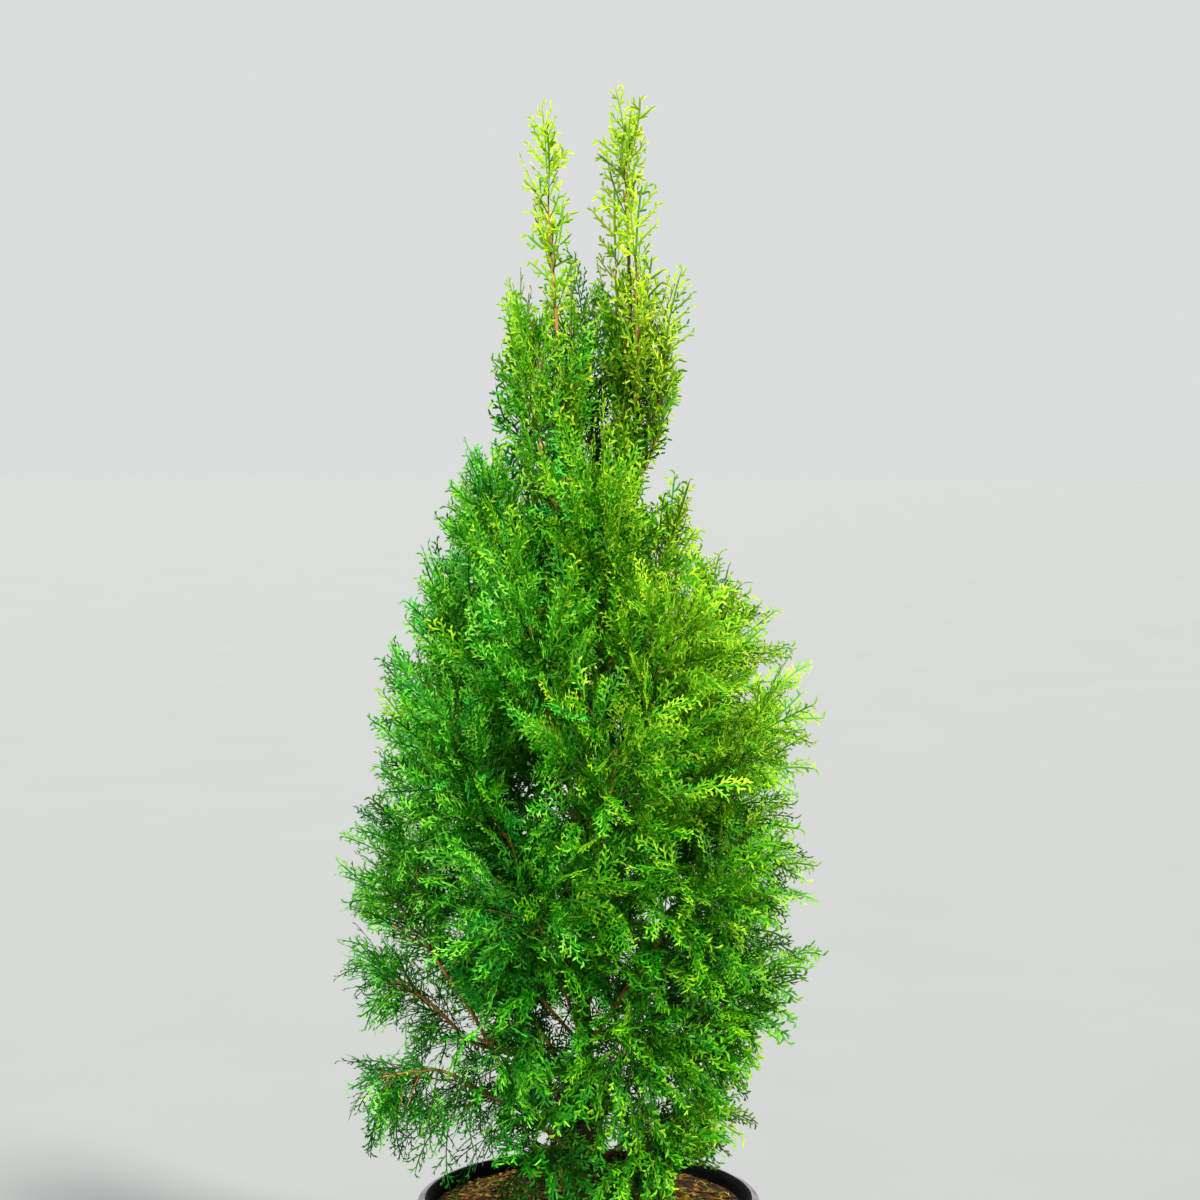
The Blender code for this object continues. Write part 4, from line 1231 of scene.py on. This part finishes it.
def lumps_at(x, y, lumps):
    """Noise at a place, summed over (waves to the metre, height, place in the noise)."""
    return sum(noise.noise((x * waves, y * waves, level)) * height for waves, height, level in lumps)


def compost_height(x, y):
    """The compost's surface, crumbly, a little higher round the trunk's foot and calmer by the pot's wall."""
    out = hypot(x, y)
    lumps = lumps_at(x, y, LUMPS) * clamp((CALM_R - out) / 0.02 + 0.3)
    return COMPOST_TOP + COMPOST_RISE + lumps + COMPOST_HEAP * clamp((HEAP_FOOT_R - out) / HEAP_SLOPE)


def place_in_pot(margin, rng):
    """A place over the compost, this far or more from its edge."""
    turn = rng.uniform(0, 2 * pi)
    out = (COMPOST_EDGE - margin) * sqrt(rng.uniform(0.01, 1))
    return np.array((out * cos(turn), out * sin(turn), 0.0))


def add_compost():
    """The compost's body, from its lumpy surface down to the pot's floor."""
    foot_r = mix(POT_BASE_R, MOUTH_R, 0.02) - POT_WALL - 0.001
    top = [(radius, 0.0) for radius in np.linspace(0.0, COMPOST_EDGE, COMPOST_RINGS)]
    section = [*top, COMPOST_SIDE, (foot_r, COMPOST_UNDER), (0.0, COMPOST_UNDER)]
    corners, faces = revolved(section, POT_STEPS)
    for corner in corners[: COMPOST_RINGS * POT_STEPS]:
        corner[2] = compost_height(corner[0], corner[1])
    made = material("compost", CRUMBS, *COMPOST_COLOURS)
    add_piece("compost_surface", joined([(corners, faces, 0)]), [made], ["compost"])


def add_chips(rng):
    """Chips of bark that lie on the compost."""
    chips = []
    for _ in range(CHIPS):
        place = place_in_pot(CHIP_MARGIN, rng)
        place[2] = compost_height(place[0], place[1]) + CHIP_LIFT
        size = rng.uniform(CHIP_LEAST, CHIP_MOST)
        chips.append((*chip(place, size, rng), rng.integers(len(CHIP_COLOURS))))
    tones = [material(name, BITS, *pair) for name, pair in CHIP_COLOURS.items()]
    add_piece("compost_chips", joined(chips), tones, smooth=False)


def add_litter(rng):
    """Dry bits of leaf that lie on the compost, in patches."""
    litter = []
    for _ in range(LITTER):
        start = place_in_pot(LITTER_MARGIN, rng)
        path = path_of(start, rng.uniform(0, 6.3), rng.uniform(*LITTER_LENGTHS), stray(rng, 0.6), 0.0, 3)
        inside = np.hypot(path[:, 0], path[:, 1]).max() < COMPOST_EDGE
        if inside and lumps_at(start[0], start[1], PATCHES) > stray(rng, PATCH_EDGE):
            path[:, 2] = [compost_height(x, y) + LITTER_LIFT for x, y, _ in path]
            bit = blunt_shoot(path, rng.uniform(*LITTER_WIDTHS))
            litter.append((*bit, rng.choice(len(LITTER_SHARES), p=LITTER_SHARES)))
    tones = [material(name, BITS, *pair) for name, pair in LITTER_COLOURS.items()]
    add_piece("compost_litter", joined(litter), tones)


def chip(place, size, rng):
    """A rough flake of bark, turned any way and tilted a little."""
    turns = np.linspace(0, 2 * pi, CHIP_SIDES, endpoint=False) + rng.uniform(-0.3, 0.3, CHIP_SIDES)
    ring = np.stack([np.cos(turns), np.sin(turns), np.zeros(CHIP_SIDES)], axis=1)
    ring = ring * rng.uniform(0.75, 1.1, (CHIP_SIDES, 1))
    middles = [(0, 0, -0.5), (0, 0, 0.62)]
    corners = np.concatenate([ring - (0, 0, 0.5), ring * (0.85, 0.85, 1) + (0, 0, 0.5), middles])
    corners = corners * size * (0.5, 0.5, 1.0)
    corners = turned(corners, unit(np.array((rng.normal(), rng.normal(), 0.0))), rng.normal(0, 0.22))
    corners = turned(corners, UP, rng.uniform(0, 6.3))
    faces = []
    for side in range(CHIP_SIDES):
        after = (side + 1) % CHIP_SIDES
        up, up_after = side + CHIP_SIDES, after + CHIP_SIDES
        faces += [(side, after, up_after), (side, up_after, up)]
        faces += [(after, side, 2 * CHIP_SIDES), (up, up_after, 2 * CHIP_SIDES + 1)]
    return corners + place, np.array(faces)


# --- Stage ---

CAMERA_PLACE = (0.0094, -2.1606, 0.870)
CAMERA_PITCH = 4.14
CAMERA_ANGLE = 25.19
FLOOR_SIZE = 60.0
FLOOR_COLOUR = (0.205, 0.21, 0.21)
FLOOR_SHADE = 0.97
SKY_COLOUR = (0.95, 0.97, 0.96)
SKY_STRENGTH = 0.75
# Suns: name, where each stands from the plant, strength, softness in degrees, colour
SUNS = (
    ("key", (0.60, -0.80, 0.95), 6.2, 9, (1.0, 0.98, 0.90)),
    ("fill", (-0.95, -0.55, 0.45), 3.6, 24, (0.90, 0.99, 1.0)),
    ("back", (-0.15, 0.85, 0.80), 2.0, 25, (1.0, 1.0, 0.97)),
)


def aimed(lamp, place):
    """Stands a lamp at a place and turns it to the pot's foot."""
    back = unit(np.array(place))
    side = unit(np.cross(UP, back))
    rows = [(*axis, 0.0) for axis in (side, np.cross(back, side), back)]
    lamp.matrix_world = [*rows, (*place, 1.0)]


def add_stage():
    scene = bpy.context.scene
    camera = linked("camera", bpy.data.cameras.new("camera"))
    camera.data.lens_unit = "FOV"
    camera.data.angle = radians(CAMERA_ANGLE)
    camera.location = CAMERA_PLACE
    camera.rotation_euler = (radians(90 - CAMERA_PITCH), 0.0, 0.0)
    scene.camera = camera

    half = FLOOR_SIZE / 2
    mesh = bpy.data.meshes.new("studio_floor")
    corners = [(-half, -half, 0), (half, -half, 0), (half, half, 0), (-half, half, 0)]
    mesh.from_pydata(corners, [], [(0, 1, 2, 3)])
    shade = tuple(FLOOR_SHADE * part for part in FLOOR_COLOUR)
    mesh.materials.append(material("studio_floor", STUDIO, shade, FLOOR_COLOUR))
    linked("studio_floor", mesh)

    for name, place, strength, softness, colour in SUNS:
        lamp = bpy.data.lights.new(name, "SUN")
        lamp.energy = strength
        lamp.angle = radians(softness)
        lamp.color = colour
        aimed(linked(name, lamp), place)

    scene.world = bpy.data.worlds.new("studio")
    scene.world.use_nodes = True
    fill(scene.world.node_tree.nodes["Background"], Color=(*SKY_COLOUR, 1.0), Strength=SKY_STRENGTH)
    scene.view_settings.view_transform = "Standard"


def main():
    rng = np.random.default_rng(SEED)
    limbs = upright_limbs()
    masses = []
    for add in (add_left_boughs, add_uprights, add_stretches, add_tiers):
        add(limbs, masses)
    twigs = grow_twigs(masses, rng)
    # Old bark, dark brown, made darker still as painted shade of the crown's dark inside
    old = material("bark", OLD_BARK, (0.009, 0.005, 0.002), (0.068, 0.032, 0.012))
    young = material("young_bark", YOUNG_BARK, (0.240, 0.080, 0.016), (0.560, 0.260, 0.070))
    green = material("green_bark", YOUNG_BARK, (0.035, 0.045, 0.006), (0.110, 0.105, 0.018))
    add_limbs(limbs, old, young, rng)
    add_twigs(masses, twigs, young, green, rng)
    add_foliage(masses, twigs, rng)
    add_pot()
    add_compost()
    add_chips(rng)
    add_litter(rng)
    add_stage()


main()
